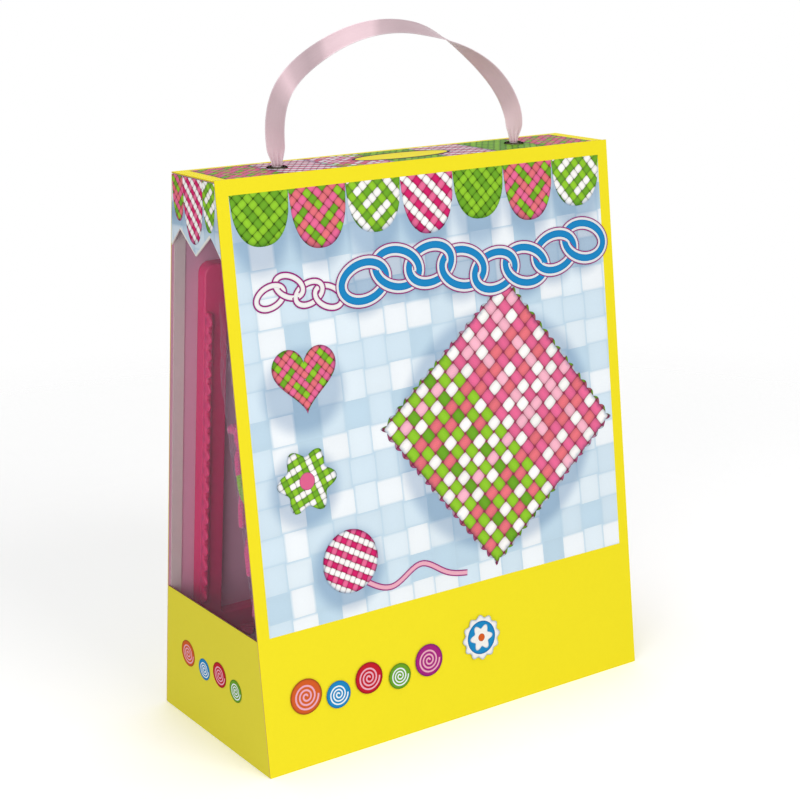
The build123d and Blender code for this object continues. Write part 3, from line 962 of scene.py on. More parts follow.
class Artwork:
    """Draws flat motifs on a panel, each a sheet of ink a little above the last."""

    STEP = 0.018
    GROUND_LIFT = 0.03
    GROUND_PITCH = 15.0
    GROUND_TURN = 2.0
    GROUND_MIDDLE = (4.0, 9.0)
    GROUND_STEPS = 120
    CAST_OFFSET = (-1.5, -4.0)
    CAST_REACH = 9.0
    CAST_DEPTH = 0.5
    OUTLINE_STEPS = 96
    PADDING = 0.14
    PADDING_SHADE = 0.8
    LINE_SHADE = 0.25
    RING_SHADE = 0.3
    LINK_WEAVE = 0.03
    LINK_LIFT = 0.04
    LINK_STEP = 0.007

    def __init__(self, panel: Panel) -> None:
        """Starts an empty drawing.

        Args:
            panel: What it is drawn on.
        """
        self.panel = panel
        self.patches: list[Patch] = []
        self.inks: dict[Ink | None, int] = {None: 0}
        self.lift = self.GROUND_LIFT
        self.casts: list[tuple[float, float, float, float]] = []

    def raise_ink(self) -> float:
        """Returns the height of the next sheet of ink."""
        self.lift += self.STEP
        return self.lift

    def add(
        self, flat: Array, ink: Ink | None, colour: Colour = WHITE, pitch: float = 1.0,
        turn: float = 0.0, centre: Spot = (0.0, 0.0), shade: Any = 0.0, lift: Any = None,
    ) -> None:
        """Adds one sheet of ink.

        Args:
            flat: Points in the panel's axes, on a grid.
            ink: Its woven pattern, or None for a flat colour.
            colour: The flat colour.
            pitch: Width of one strand.
            turn: The strands' turn in degrees.
            centre: The middle of the pattern.
            shade: Darkening at each point, 0 to 1.
            lift: Height above the card; the next one if it isn't given.
        """
        uv = turned(flat - np.array(centre), -turn) / pitch
        points = self.panel.at(flat, self.raise_ink() if lift is None else lift)
        finish = self.inks.setdefault(ink, len(self.inks))
        self.patches.append(Patch(points, uv, shade, colour, finish))

    def field(self, left: float, right: float, low: float, high: float) -> None:
        """Adds the pale ground of broad woven strips, darker below what lies on it.

        The shade falls from each motif's ellipse outwards, by a smooth step.

        Args:
            left: Its left edge.
            right: Its right edge.
            low: Its lower edge.
            high: Its upper edge.
        """
        v, u = grid(between(low, high, self.GROUND_STEPS), between(0, 1, self.GROUND_STEPS))
        x = left + (right - left) * u
        shade = np.zeros_like(x)
        for cx, cv, wide, tall in self.casts:
            gap = np.hypot((x - cx - self.CAST_OFFSET[0]) / wide, (v - cv - self.CAST_OFFSET[1]) / tall) - 1
            reach = self.CAST_REACH / min(wide, tall)
            shade = np.maximum(shade, self.CAST_DEPTH * smooth_step(1 - np.maximum(gap, 0) / reach))
        self.add(
            np.stack([x, v], -1), Ink.SKY, pitch=self.GROUND_PITCH, turn=self.GROUND_TURN,
            centre=self.GROUND_MIDDLE, shade=shade, lift=self.GROUND_LIFT)

    def round_edge(self, rim: Array) -> Array:
        """Returns the darkening of a padded shape, from a share that is 1 at its rim."""
        return self.PADDING_SHADE * np.clip((rim - 1 + self.PADDING) / self.PADDING, 0, 1) ** 2

    def tongue(
        self, x: float, top: float, half: float, drop: float, ink: Ink, pitch: float, turn: float,
    ) -> None:
        """Adds a hanging rounded tongue: its depth is drop (1 - |a|^2.4)^(1/2.4) at a of its half width.

        Args:
            x: Its middle.
            top: Where it hangs from.
            half: Half its width.
            drop: How far it hangs down.
            ink: Its woven pattern.
            pitch: Width of one strand.
            turn: The strands' turn in degrees.
        """
        power = 2.4
        b, a = grid(between(0, 1, 22), between(-1, 1, 41))
        depth = drop * (1 - np.abs(a) ** power) ** (1 / power)
        flat = np.stack([x + half * a, top - b * depth], -1)
        rim = np.maximum(b, np.abs(a) * np.minimum(1, 0.4 + b))
        self.add(flat, ink, pitch=pitch, turn=turn, centre=(x, top), shade=self.round_edge(rim))

    def blob(
        self, x: float, y: float, outline: Array, ink: Ink | None, colour: Colour = WHITE,
        pitch: float = 4.0, turn: float = 0.0, padded: bool = True,
    ) -> None:
        """Fills an outline, as rings that shrink towards its centre.

        Args:
            x: The centre across the panel.
            y: The centre up the panel.
            outline: The (across, up) points round the centre.
            ink: Its woven pattern, or None for a flat colour.
            colour: The flat colour.
            pitch: Width of one strand.
            turn: The strands' turn in degrees.
            padded: Whether it darkens towards its rim.
        """
        share = between(0.02, 1, 14)[:, None, None]
        closed = np.concatenate([outline, outline[:1]])
        flat = np.array([x, y]) + share * closed[None]
        rim = np.broadcast_to(share[..., 0], flat.shape[:2])
        shade = self.round_edge(rim) if padded else 0.0
        self.add(flat, ink, colour, pitch, turn, (x, y), shade)

    def ellipse(self, wide: float, tall: float, waves: int = 0, swell: float = 0.0) -> Array:
        """Makes an ellipse's outline, whose radius swells by a share in a number of waves.

        Args:
            wide: Half its width.
            tall: Half its height.
            waves: How many waves run round it.
            swell: The share that each adds.

        Returns:
            The outline.
        """
        t = between(0, TURN, self.OUTLINE_STEPS + 1)[:-1]
        radius = 1 + swell * np.cos(waves * t)
        return np.stack([wide * radius * np.cos(t), tall * radius * np.sin(t)], -1)

    def heart(self, size: float) -> Array:
        """Makes a heart's outline: 16 sin^3 t across, and 13 cos t less three smaller waves up.

        Args:
            size: Half its width.

        Returns:
            The outline.
        """
        t = between(0, TURN, self.OUTLINE_STEPS + 1)[:-1]
        up = 13 * np.cos(t) - 5 * np.cos(2 * t) - 2 * np.cos(3 * t) - np.cos(4 * t)
        return size / 16 * np.stack([16 * np.sin(t) ** 3, up + 2], -1)

    def stroke(self, path: Array, width: float, colour: Colour, lift: Any, closed: bool = False) -> None:
        """Adds a line of even width: points at -1 to 1 half widths to the left of its path.

        Args:
            path: The path's points. The last point of a closed one is its first.
            width: The line's width.
            colour: Its flat colour.
            lift: Its height above the card, one value or one for each point.
            closed: Whether the path is closed.
        """
        along = round_the_ring(path) if closed else unit(np.gradient(path, axis=0))
        side = np.stack([-along[:, 1], along[:, 0]], -1)
        a = between(-1, 1, 5)[None, :, None]
        flat = path[:, None] + a * width / 2 * side[:, None]
        height = np.broadcast_to(np.asarray(lift, float), len(path))[:, None] + 0 * a[..., 0]
        dark = self.RING_SHADE if closed else self.LINE_SHADE
        self.add(flat, None, colour, lift=height, shade=dark * np.abs(a[..., 0]) ** 3 + 0 * height)

    def chain(
        self, centres: Array, turns: tuple[float, float], long: float, tall: float,
        inks: tuple[tuple[float, Colour], ...],
    ) -> None:
        """Adds a chain of linked loops.

        Each loop is an ellipse, and its ink rises and sinks as sin 2t round it, so that it passes over
        one neighbour and under the other.

        Args:
            centres: The middle of each loop.
            turns: The turn of every other loop and of those between, in degrees.
            long: Half the length of a loop.
            tall: Half its height.
            inks: The (width, colour) of each line of the loop, widest first.
        """
        t = between(0, TURN, 81)
        wave = self.LINK_WEAVE * np.sin(2 * t)
        base = self.raise_ink() + self.LINK_LIFT
        ring = np.stack([long * np.cos(t), tall * np.sin(t)], -1)
        for index, centre in enumerate(centres):
            path = centre + turned(ring, turns[index % 2])
            for layer, (width, colour) in enumerate(inks):
                self.stroke(path, width, colour, base + wave + self.LINK_STEP * layer, closed=True)
        self.lift = base + 2 * self.LINK_WEAVE

    def cloth(self, x: float, y: float, half: float, strands: int, turn: float, ink: Ink) -> None:
        """Adds a finished square of weaving, its edge a row of small loops.

        A square grid is pushed out near each edge by a wave with one crest for each strand, and drawn in
        at its corners, where the twelfth root of |a|^12 + |b|^12 passes 1.

        Args:
            x: Its middle across the panel.
            y: Its middle up the panel.
            half: Half its side.
            strands: How many strands cross it.
            turn: Its turn in degrees.
            ink: Its woven pattern.
        """
        hem, crest, hem_shade, hem_shade_run = 0.1, 0.035, 0.7, 0.05
        b, a = grid(between(-1, 1, 8 * strands + 1), between(-1, 1, 8 * strands + 1))
        near_a = np.clip((np.abs(a) - 1 + hem) / hem, 0, 1)
        near_b = np.clip((np.abs(b) - 1 + hem) / hem, 0, 1)
        u = a + np.sign(a) * near_a * crest * np.abs(np.cos(np.pi * strands * b / 2))
        v = b + np.sign(b) * near_b * crest * np.abs(np.cos(np.pi * strands * a / 2))
        corner = (np.abs(a) ** 12 + np.abs(b) ** 12) ** (1 / 12)
        pull = 1 - 0.18 * np.clip(corner - 1, 0, 1)
        flat = np.array([x, y]) + turned(np.stack([u * pull, v * pull], -1) * half, turn)
        rim = np.maximum(np.abs(a), np.abs(b))
        shade = hem_shade * np.clip((rim - 1 + hem_shade_run) / hem_shade_run, 0, 1)
        self.add(flat, ink, pitch=2 * half / strands, turn=turn, centre=(x, y), shade=shade)

    def coil(self, x: float, y: float, radius: float, colour: Colour, pale: Colour) -> None:
        """Adds a wound coil of cord: a disc, and a line whose radius grows evenly through three turns.

        Args:
            x: Its middle across the panel.
            y: Its middle up the panel.
            radius: The disc's radius.
            colour: The disc's colour.
            pale: The line's colour.
        """
        start, growth, width = 0.06, 0.72, 0.11
        self.blob(x, y, self.ellipse(radius, radius), None, colour)
        t = between(0, 3 * TURN, 150)
        far = radius * (start + growth * t / t[-1])
        path = np.array([x, y]) + far[:, None] * np.stack([np.cos(t), np.sin(t)], -1)
        self.stroke(path, width * radius, pale, self.raise_ink())

    def piece(self, name: str, body: str, materials: dict[Any, Material]) -> None:
        """Makes the drawing one piece.

        Args:
            name: The piece's name.
            body: The body it rides on.
            materials: The print's material for each ink.
        """
        finishes = [materials[ink] for ink in self.inks]
        made = build(name, self.patches, finishes, body, outward=self.panel.out)


@dataclass
class Carton:
    """The carton: its card, and the prints on its outside."""

    form: CartonForm = field(default_factory=CartonForm)
    border: float = 7.0
    print_low: float = 73.5
    print_high: float = 298.1
    tongue_count: int = 7
    tongue_drop: float = 31.0
    short_tongue: float = 0.86
    tongue_pitch: float = 4.3
    chain_length: float = 14.0
    header_bare: float = 0.9
    header_inset: float = 0.5
    header_painted_shade_and_band: Spot = (0.22, 0.4)
    header_fold: Spot = (283.0, 9.0)
    lid_half: float = 117.0
    lid_low: float = -20.7
    lid_high: float = 18.6
    lid_pitch: float = 3.3
    lid_turns: Spot = (40.0, 52.0)
    lid_painted_shade_and_seam: Spot = (0.3, 0.45)
    lid_seam: float = 0.1
    hole_reach: float = 76.5
    hole_radius: float = 3.9
    oval_middle: Spot = (0.0, -1.0)
    rosette: Spot = (14.0, 42.0)
    coil_colours: tuple[tuple[Colour, Colour], ...] = (
        (ORANGE, BLUSH), (BLUE, SKY_PALE), (CRIMSON, BLUSH), (LEAF, SKY_PALE), (MAGENTA, BLUSH))
    coil_shares: tuple[float, ...] = (1.0, 0.78, 0.9, 0.74, 0.94)

    @property
    def print_side(self) -> float:
        """Half the width of the front's and the back's print."""
        return self.form.width / 2 - self.border

    @cached_property
    def inks(self) -> dict[Any, Material]:
        """The prints' material for each ink, and for the flat colours under None."""
        woven = {ink: Print("print_" + ink.name.lower(), ink.value).make() for ink in Ink}
        return {**woven, None: Print("print_flat").make()}

    def dress(self) -> None:
        """Gives the card nodes their board, printed where it shows, and the windows their film."""
        form = self.form
        leaning = float(form.base_depth / 2 * np.cos(form.lean))
        looks = {
            "front_panel": (form.face(-1).out, leaning, YELLOW, FOLD_PRINT_SHADED),
            "back_panel": (form.face(1).out, leaning, YELLOW, FOLD_PRINT_SHADED),
            "base_panel": ((0.0, 0.0, -1.0), 0.0, YELLOW, BOARD_EDGE),
            "lid_panel": ((0.0, 0.0, 1.0), form.lid_top, YELLOW, FOLD_PRINT_SHADED),
        }
        # Side panels: their darker yellow and the brown line on the band's edges are painted shade.
        for way, side in SIDES.items():
            out = (float(way), 0.0, 0.0)
            looks[side + "_side_base"] = (out, form.width / 2, SIDE_YELLOW_SHADED, BAND_SHADOW_LINE)
            looks[side + "_side_header"] = (out, form.width / 2, BOARD_EDGE, BOARD_EDGE)
            looks[side + "_dust_flap"] = ((0.0, 0.0, 1.0), form.side_top, BOARD_EDGE, BOARD_EDGE)
        for node, (out, far, printed, edge) in looks.items():
            cover(node, Card(node + "_card", out, far, printed, edge).make())
        board = Board("bare_board").make()
        for node in ("base_tuck_flap", "left_base_flap", "right_base_flap", "lid_tuck_flap"):
            cover(node, board)
        cover("back_seam_flap", Board("seam_board", FLAP_BOARD).make())
        cover("insert_platform", Board("platform_board", PLATFORM_BOARD).make())
        film = Film("window_film", haze=0.006, gloss=0.2, ripple=0.12, ripple_scale=9.0).make()
        for side in SIDES.values():
            cover(side + "_window_film", film)

    def ground(self, art: Artwork, first: int) -> None:
        """Draws what the front and the back share: the ground, and a row of tongues under its top edge.

        Args:
            art: The drawing, which holds the motifs' places for their shade.
            first: Which woven pattern the first tongue has.
        """
        looks = (Ink.GREEN, Ink.CORAL_GREEN, Ink.GREEN_WHITE, Ink.PINK_WHITE)
        side = self.print_side
        art.field(-side, side, self.print_low, self.print_high)
        pitch = 2 * side / self.tongue_count
        for index in range(self.tongue_count):
            x = -side + (index + 0.5) * pitch
            share, turn = ((self.short_tongue, 38.0), (1.0, 45.0))[index % 2]
            ink, drop = looks[(index + first) % len(looks)], self.tongue_drop * share
            art.tongue(x, self.print_high, pitch / 2, drop, ink, self.tongue_pitch, turn)

    def front_print(self) -> None:
        """Draws the front: a woven square, two chains of loops, small motifs and a row of coils."""
        art = Artwork(self.form.face(-1))
        side, tongue = self.print_side, 2 * self.print_side / self.tongue_count
        loops = wave_row(-44, 104, 8, 247, 5, 7.5)
        small_loops = wave_row(-100, -66, 4, 246, 4, 5)
        heart, flower, ball = (-84, 202), (-88, 150), (-66, 103)
        yarn = np.array([[-60, 92], [-40, 84], [-22, 92], [-6, 84], [8, 80.5]], float)
        middles = -side + (np.arange(self.tongue_count) + 0.5) * tongue
        art.casts = [(x, 290, tongue * 0.42, 22) for x in middles]
        art.casts += [(38, 160, 62, 62), (-84, 200, 19, 17), (*flower, 16, 16), (*ball, 17, 17)]
        art.casts += [(x, y, 10, 9) for x, y in loops]
        self.ground(art, 0)
        art.cloth(38, 159, 55, 16, 38.0, Ink.CLOTH)
        art.blob(*heart, art.heart(19), Ink.CORAL_GREEN, pitch=3.6, turn=45.0)
        art.blob(*flower, art.ellipse(15.5, 15.5, 6, 0.16), Ink.GREEN_WHITE, pitch=3.4, turn=20.0)
        art.blob(*flower, art.ellipse(4.6, 4.6), None, ROSE)
        for width, colour in ((3.4, MAGENTA), (2.2, BLUSH)):
            art.stroke(spline(yarn, 60), width, colour, art.raise_ink())
        art.blob(*ball, art.ellipse(17, 17), Ink.PINK_WHITE, pitch=3.4, turn=60.0)
        art.chain(small_loops, (20, -25), 8.4, 5.2, ((4.0, MAGENTA), (2.4, WHITE)))
        art.chain(loops, (12, -14), self.chain_length, 9.6, ((7.6, MAGENTA), (6.4, WHITE), (3.8, BLUE)))
        self.coils(art, -100, 9.5)
        for wide, waves, swell, colour in ((12, 12, 0.07, WHITE), (9.4, 0, 0, BLUE), (6.4, 6, 0.2, WHITE),
                                           (2.2, 0, 0, ORANGE)):
            art.blob(*self.rosette, art.ellipse(wide, wide, waves, swell), None, colour)
        art.piece("front_print", "carton", self.inks)

    def coils(self, art: Artwork, x: float, radius: float) -> None:
        """Draws a row of five coils of different sizes on the yellow band.

        Args:
            art: The drawing.
            x: The first coil's middle.
            radius: The largest coil's radius.
        """
        height, swing, pitch = 36, 2.0, 19.5
        for index, ((colour, pale), share) in enumerate(zip(self.coil_colours, self.coil_shares)):
            art.coil(x + index * pitch, height + swing * (-1) ** index, radius * share, colour, pale)

    def back_print(self) -> None:
        """Draws the back: the same ground and tongues, three woven squares, a chain and a row of coils."""
        art = Artwork(self.form.face(1))
        squares = (
            (-70, 178, 27, 8.0, Ink.GREEN), (0, 172, 30, -6.0, Ink.CLOTH),
            (72, 180, 26, 12.0, Ink.CORAL_GREEN))
        art.casts = [(x, y, half * 1.1, half * 1.1) for x, y, half, _, _ in squares]
        self.ground(art, 2)
        for x, y, half, turn, ink in squares:
            art.cloth(x, y, half, 8, turn, ink)
        loops = wave_row(-88, 88, 9, 112, 4, 7.5)
        art.chain(loops, (12, -14), self.chain_length, 9.0, ((7.0, MAGENTA), (5.8, WHITE), (3.6, BLUE)))
        self.coils(art, -39, 8.5)
        art.piece("back_print", "carton", self.inks)

    def side_print(self, way: int) -> None:
        """Draws a side's header, cut to the zigzag less a bare edge, and the coils on its band.

        Args:
            way: The left (-1) or right (1) side.
        """
        form = self.form
        art = Artwork(form.side(way))
        end = form.depth_at(form.zig_end)
        across = np.array([-end, -form.zig_reach, 0.0, form.zig_reach, end])
        zigzag = np.array([form.zig_end, form.zig_notch, form.zig_point, form.zig_notch, form.zig_end])
        share = np.unique(np.concatenate([between(-1, 1, 61), across / end]))
        b, a = grid(between(0, 1, 24), share)
        edge = np.interp(a * end, across, zigzag + self.header_bare)
        v = edge + b * (form.side_top - edge)
        x = a * (form.depth_at(v) - self.header_inset)
        # The first share darkens the whole header: painted shade on the side. The second is a darker band
        # under the tongues.
        (pale, dark), (fold, reach) = self.header_painted_shade_and_band, self.header_fold
        painted_side_shade_and_band = pale + dark * smooth_step(1 - np.abs(v - fold) / reach) + 0 * x
        art.add(np.stack([x, v], -1), Ink.SKY, pitch=11.0, turn=3.0, centre=(2.0, 3.0), shade=painted_side_shade_and_band)
        half = form.depth_at(form.side_top)
        for middle, wide, drop, ink in (
            (-half + 6.4, 6.2, 23.0, Ink.CORAL_GREEN), (half - 6.6, 6.4, 25.0, Ink.GREEN_WHITE),
            (-0.5, 10.2, 33.0, Ink.PINK_WHITE)):
            art.tongue(middle, form.side_top, wide, drop, ink, 3.2, 45.0)
        places = ((-28, 39.5, 7.4), (-10, 36.5, 6.0), (7, 39.5, 7.0), (24, 36.5, 6.2))
        for (middle, height, radius), (colour, pale) in zip(places, self.coil_colours):
            art.coil(-way * middle, height, radius, colour, pale)
        art.piece(SIDES[way] + "_side_print", "carton", self.inks)

    def lid_print(self) -> None:
        """Draws the lid: woven pieces side by side inside its yellow edge, and a bare oval."""
        art = Artwork(self.form.lid())
        looks = (
            Ink.CORAL_GREEN, Ink.PINK_WHITE, Ink.CLOTH, Ink.GREEN, Ink.PINK_WHITE, Ink.GREEN,
            Ink.CORAL_GREEN)
        edges = between(-self.lid_half, self.lid_half, len(looks) + 1)
        for index, ink in enumerate(looks):
            b, a = grid(between(0, 1, 40), between(0, 1, 60))
            x = edges[index] + (edges[index + 1] - edges[index]) * a
            y = self.lid_low + (self.lid_high - self.lid_low) * b
            # The first share darkens every piece: painted shade on the lid's top. The second darkens the
            # seams between pieces.
            seam = np.clip((np.abs(a - 0.5) - (0.5 - self.lid_seam)) / self.lid_seam, 0, 1)
            shade = self.lid_painted_shade_and_seam[0] + self.lid_painted_shade_and_seam[1] * seam
            art.add(
                np.stack([x, y], -1), ink, pitch=self.lid_pitch, turn=self.lid_turns[index % 2],
                centre=(edges[index], 0), shade=shade, lift=art.GROUND_LIFT)
        self.cut_holes(art)
        art.lift = 0.04
        for wide, tall, colour in ((31.0, 11.4, NIGHT), (29.2, 9.2, YELLOW)):
            art.blob(*self.oval_middle, art.ellipse(wide, tall), None, colour, padded=False)
        art.piece("lid_print", "lid", self.inks)

    def cut_holes(self, art: Artwork) -> None:
        """Pushes the print's points out of the two holes, on to their rims.

        Args:
            art: The lid's drawing.
        """
        for patch in art.patches:
            for way in SIDES:
                hole = np.array([way * self.hole_reach, 0.0])
                off = patch.points[..., :2] - hole
                far = np.linalg.norm(off, axis=-1, keepdims=True)
                moved = hole + off / np.maximum(far, 1e-6) * self.hole_radius
                patch.points[..., :2] = np.where(far < self.hole_radius, moved, patch.points[..., :2])

    def make(self) -> None:
        """Dresses the card and draws every print."""
        self.dress()
        self.front_print()
        self.back_print()
        for way in SIDES:
            self.side_print(way)
        self.lid_print()


@dataclass
class Handle:
    """The ribbon, its eyelets, and the knots that hold it under the lid.

    The ribbon's path is in shares of its reach and rise. Its faces are (share of its length, facing in X,
    Y and Z), and its painted sheen is (share of its length, lightening): light and dark bands in its colour.
    """

    reach: float = 76.5
    pivot: float = 305.4
    rise: float = 64.4
    tail: float = 1.0
    width: float = 10.0
    thickness: float = 0.35
    gathered: float = 5.7
    gather_run: float = 10.0
    fold: float = 0.6
    curl_start: float = 0.72
    curl: float = 6.0
    free_curl: float = 0.35
    sway: float = 0.10
    sway_length: float = 17.0
    painted_sheen_skew: float = 0.012
    path_steps: int = 220
    width_steps: int = 33
    smoothing: int = 21
    lid_top: float = 303.6
    foot: float = 301.9
    bore: float = 6.5
    flange: float = 11.0
    barrel_wall: float = 0.45
    flange_height: float = 0.84
    flange_gap: float = 0.06
    flare: float = 0.2
    rim_inset: float = 0.15
    washer_low: float = 302.3
    washer_thickness: float = 0.5
    washer_gap: float = 0.1
    washer_round: Spot = (0.3, 0.15)
    knot_z: float = 298.3
    knot_size: float = 1.12
    knot_flatness: float = 1.1
    band_half: Spot = (1.9, 0.75)
    neck_radius: float = 2.05
    neck_folds: int = 6
    neck_fold_share: float = 0.10
    neck_gaps: Spot = (0.8, 0.3)
    tail_start: float = 2.0
    tail_aside: float = 0.6
    tail_halves: Spot = (1.8, 4.5)
    tail_spread: Spot = (1.0, 0.9)
    tail_curl: float = 0.5
    tail_slant: float = 1.2
    tail_drop: float = 10.4
    tail_thickness: float = 0.18
    dark_edge: Colour = (0.12, 0.11, 0.1)
    path: tuple[Spot, ...] = (
        (-1.0, 0.0), (-1.01, 0.22), (-0.95, 0.55), (-0.68, 0.83), (-0.25, 1.005),
        (0.10, 1.0), (0.59, 0.765), (0.95, 0.34), (1.0, 0.16), (1.0, 0.0))
    faces: tuple[tuple[float, float, float, float], ...] = (
        (0.0, 0.0, -1.0, 0.0), (0.07, -0.30, -0.95, 0.0), (0.16, -0.57, -0.82, 0.0),
        (0.34, -0.40, -0.72, 0.57), (0.58, 0.0, -0.63, 0.78), (0.74, 0.10, 0.32, 0.95),
        (0.84, 0.55, 0.75, 0.35), (0.91, 0.57, 0.82, 0.0), (0.95, 0.30, 0.95, 0.0), (1.0, 0.0, 1.0, 0.0))
    painted_sheen: tuple[Spot, ...] = (
        (0.0, 0.08), (0.03, 0.08), (0.085, -0.13), (0.14, -0.22), (0.165, -0.08), (0.19, 0.20),
        (0.215, -0.12), (0.26, -0.29), (0.295, -0.18), (0.315, 0.14), (0.38, 0.26), (0.44, 0.22),
        (0.465, -0.14), (0.52, -0.24), (0.60, -0.18), (0.67, 0.0), (0.74, 0.06), (0.80, 0.02),
        (0.89, 0.0), (0.93, 0.20), (1.0, 0.24))

    def centre_line(self) -> Array:
        """Lays the ribbon's middle: a spline through its path, with a tail into each eyelet.

        Returns:
            Its points.
        """
        way = np.array([(self.reach * x, 0.0, self.pivot + self.rise * z) for x, z in self.path])
        down = np.array([0.0, 0.0, self.tail])
        return spline(np.stack([way[0] - down, *way, way[-1] - down]), self.path_steps)

    def facing(self, share: Array) -> Array:
        """Reads the ribbon's facing from its table and smooths it along its length.

        Args:
            share: The share of the ribbon's length at each point.

        Returns:
            The facing at each point.
        """
        table = np.array(self.faces)
        face = unit(np.stack([np.interp(share, table[:, 0], table[:, k]) for k in (1, 2, 3)], -1))
        kernel = np.hanning(self.smoothing) / np.hanning(self.smoothing).sum()
        beyond = self.smoothing // 2
        padded = np.pad(face, ((beyond, beyond), (0, 0)), mode="edge")
        return unit(np.stack([np.convolve(padded[:, k], kernel, mode="valid") for k in range(3)], -1))

    def ribbon(self, satin: Material) -> float:
        """Makes the ribbon.

        Each cross-section is a line across the ribbon. Near the eyelets it draws together and folds into
        a wave, by a share that falls off along the gather's run. Its edges curl with the square of the
        distance past where the curl starts.

        Args:
            satin: The ribbon's material.

        Returns:
            The ribbon's length in metres.
        """
        centre = self.centre_line()
        travel = lengths(centre)
        share = travel / travel[-1]
        along = unit(np.gradient(centre, axis=0))
        across = unit(np.cross(along, self.facing(share)))
        face = np.cross(across, along)
        a = between(-1, 1, self.width_steps)[None, :]
        gather = (1 - smooth_step(np.minimum(travel, travel[-1] - travel) / self.gather_run))[:, None]
        half = (self.width + (self.gathered - self.width) * gather) / 2
        curl = self.curl * np.clip(np.abs(a) - self.curl_start, 0, 1) ** 2
        curl = curl * (self.free_curl + (1 - self.free_curl) * gather)
        lift = gather * self.fold * np.sin(3 * np.pi * a + 0.6) + curl
        lift = lift + self.sway * np.sin(travel / self.sway_length)[:, None] * a
        points = centre[:, None] + (half * a)[..., None] * across[:, None] + lift[..., None] * face[:, None]
        # Painted sheen: bands of light and dark along the ribbon, laid into its colour from the table.
        bands = np.array(self.painted_sheen)
        painted_sheen = np.interp(np.clip(share[:, None] + self.painted_sheen_skew * a, 0, 1), bands[:, 0], bands[:, 1])
        strip = Patch(points, pattern(a, travel[:, None]), painted_sheen)
        made = build("ribbon_handle_satin", [strip], [satin], "handle", outward=(0.0, -1.0, 0.2))
        wall = made.modifiers.new("cloth", "SOLIDIFY")
        wall.thickness = self.thickness * MM
        wall.offset = 0.0
        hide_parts("ribbon_handle")
        length = float(travel[-1]) * MM
        return length

    def eyelet(self, way: int, metal: Material) -> None:
        """Makes an eyelet: its rolled flange is half an ellipse, turned round the bore with its barrel.

        Args:
            way: The left (-1) or right (1) side.
            metal: The eyelet's material.
        """
        inner, rim = self.bore / 2, self.flange / 2
        outer = inner + self.barrel_wall
        t = between(0, np.pi, 17)
        across = (rim + inner) / 2 + (rim - inner) / 2 * np.cos(t)
        roll = np.stack([across, self.lid_top + self.flange_gap + self.flange_height * np.sin(t)], -1)
        barrel = np.array([
            [inner, self.foot + self.flare], [(inner + outer) / 2, self.foot],
            [outer, self.foot + self.flare], [outer, self.lid_top], [rim - self.rim_inset, self.lid_top]])
        ring = Patch(spun(np.concatenate([barrel, roll, barrel[:1]]), way * self.reach))
        made = build(SIDES[way] + "_eyelet_ring", [ring], [metal], "lid", crease=60)
        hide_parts(SIDES[way] + "_eyelet")

    def washer(self, way: int, metal: Material) -> None:
        """Makes the washer under the lid: a flat ring with a rounded rim.

        Args:
            way: The left (-1) or right (1) side.
            metal: The washer's material.
        """
        inner, rim = self.bore / 2 + self.barrel_wall + self.washer_gap, self.flange / 2
        low, high = self.washer_low, self.washer_low + self.washer_thickness
        inset, rounding = self.washer_round
        outline = np.array([
            [inner, low], [rim - inset, low], [rim, low + rounding], [rim, high - rounding],
            [rim - inset, high], [inner, high], [inner, low]])
        ring = Patch(spun(outline, way * self.reach))
        made = build(SIDES[way] + "_washer_ring", [ring], [metal], "lid")
        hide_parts(SIDES[way] + "_eyelet_washer")

    def knot(self, way: int, satin: Material) -> None:
        """Makes a knot under the lid: a flat band along a trefoil, a gathered neck and two cut tails.

        The trefoil is (2 + cos 3t) cos 2t by (2 + cos 3t) sin 2t, and it rises as sin 3t.

        Args:
            way: The left (-1) or right (1) side.
            satin: The ribbon's material.
        """
        middle = np.array([way * self.reach, 0.0, self.knot_z])
        t = between(0, TURN, 121)
        swing, rise = 2 + np.cos(3 * t), self.knot_flatness * np.sin(3 * t)
        trefoil = np.stack([swing * np.cos(2 * t), swing * np.sin(2 * t), rise], -1)
        centre = middle + self.knot_size * trefoil
        side = unit(np.cross(round_the_ring(centre), unit(centre - middle)))
        band = tube(centre, side, *self.band_half, 12)
        patches = [Patch(band, pattern(between(-1, 1, 13)[None, :], (t * 6)[:, None])), self.neck(middle)]
        for turn in (-1, 1):
            patches += self.cut_tail(middle, turn)
        made = build(SIDES[way] + "_ribbon_knot_satin", patches, [satin], "lid", crease=70)
        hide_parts(SIDES[way] + "_ribbon_knot")

    def neck(self, middle: Array) -> Patch:
        """Makes the gathered ribbon in the bore: a closed tube whose radius waves round it.

        Args:
            middle: The knot's middle.

        Returns:
            The tube.
        """
        low, high = self.knot_z + self.neck_gaps[0], self.pivot - self.tail - self.neck_gaps[1]
        z, angle = grid(between(low, high, 12), between(0, TURN, 37))
        radius = self.neck_radius * (1 + self.neck_fold_share * np.cos(self.neck_folds * angle))
        wall = np.stack([middle[0] + radius * np.cos(angle), radius * np.sin(angle), z], -1)
        ends = [np.stack([middle[0] + 0 * angle[:1], 0 * angle[:1], row], -1) for row in (z[:1], z[-1:])]
        closed = np.concatenate([ends[0], wall, ends[1]])
        return Patch(closed, pattern(angle[:1] / np.pi - 1, closed[..., 2]))

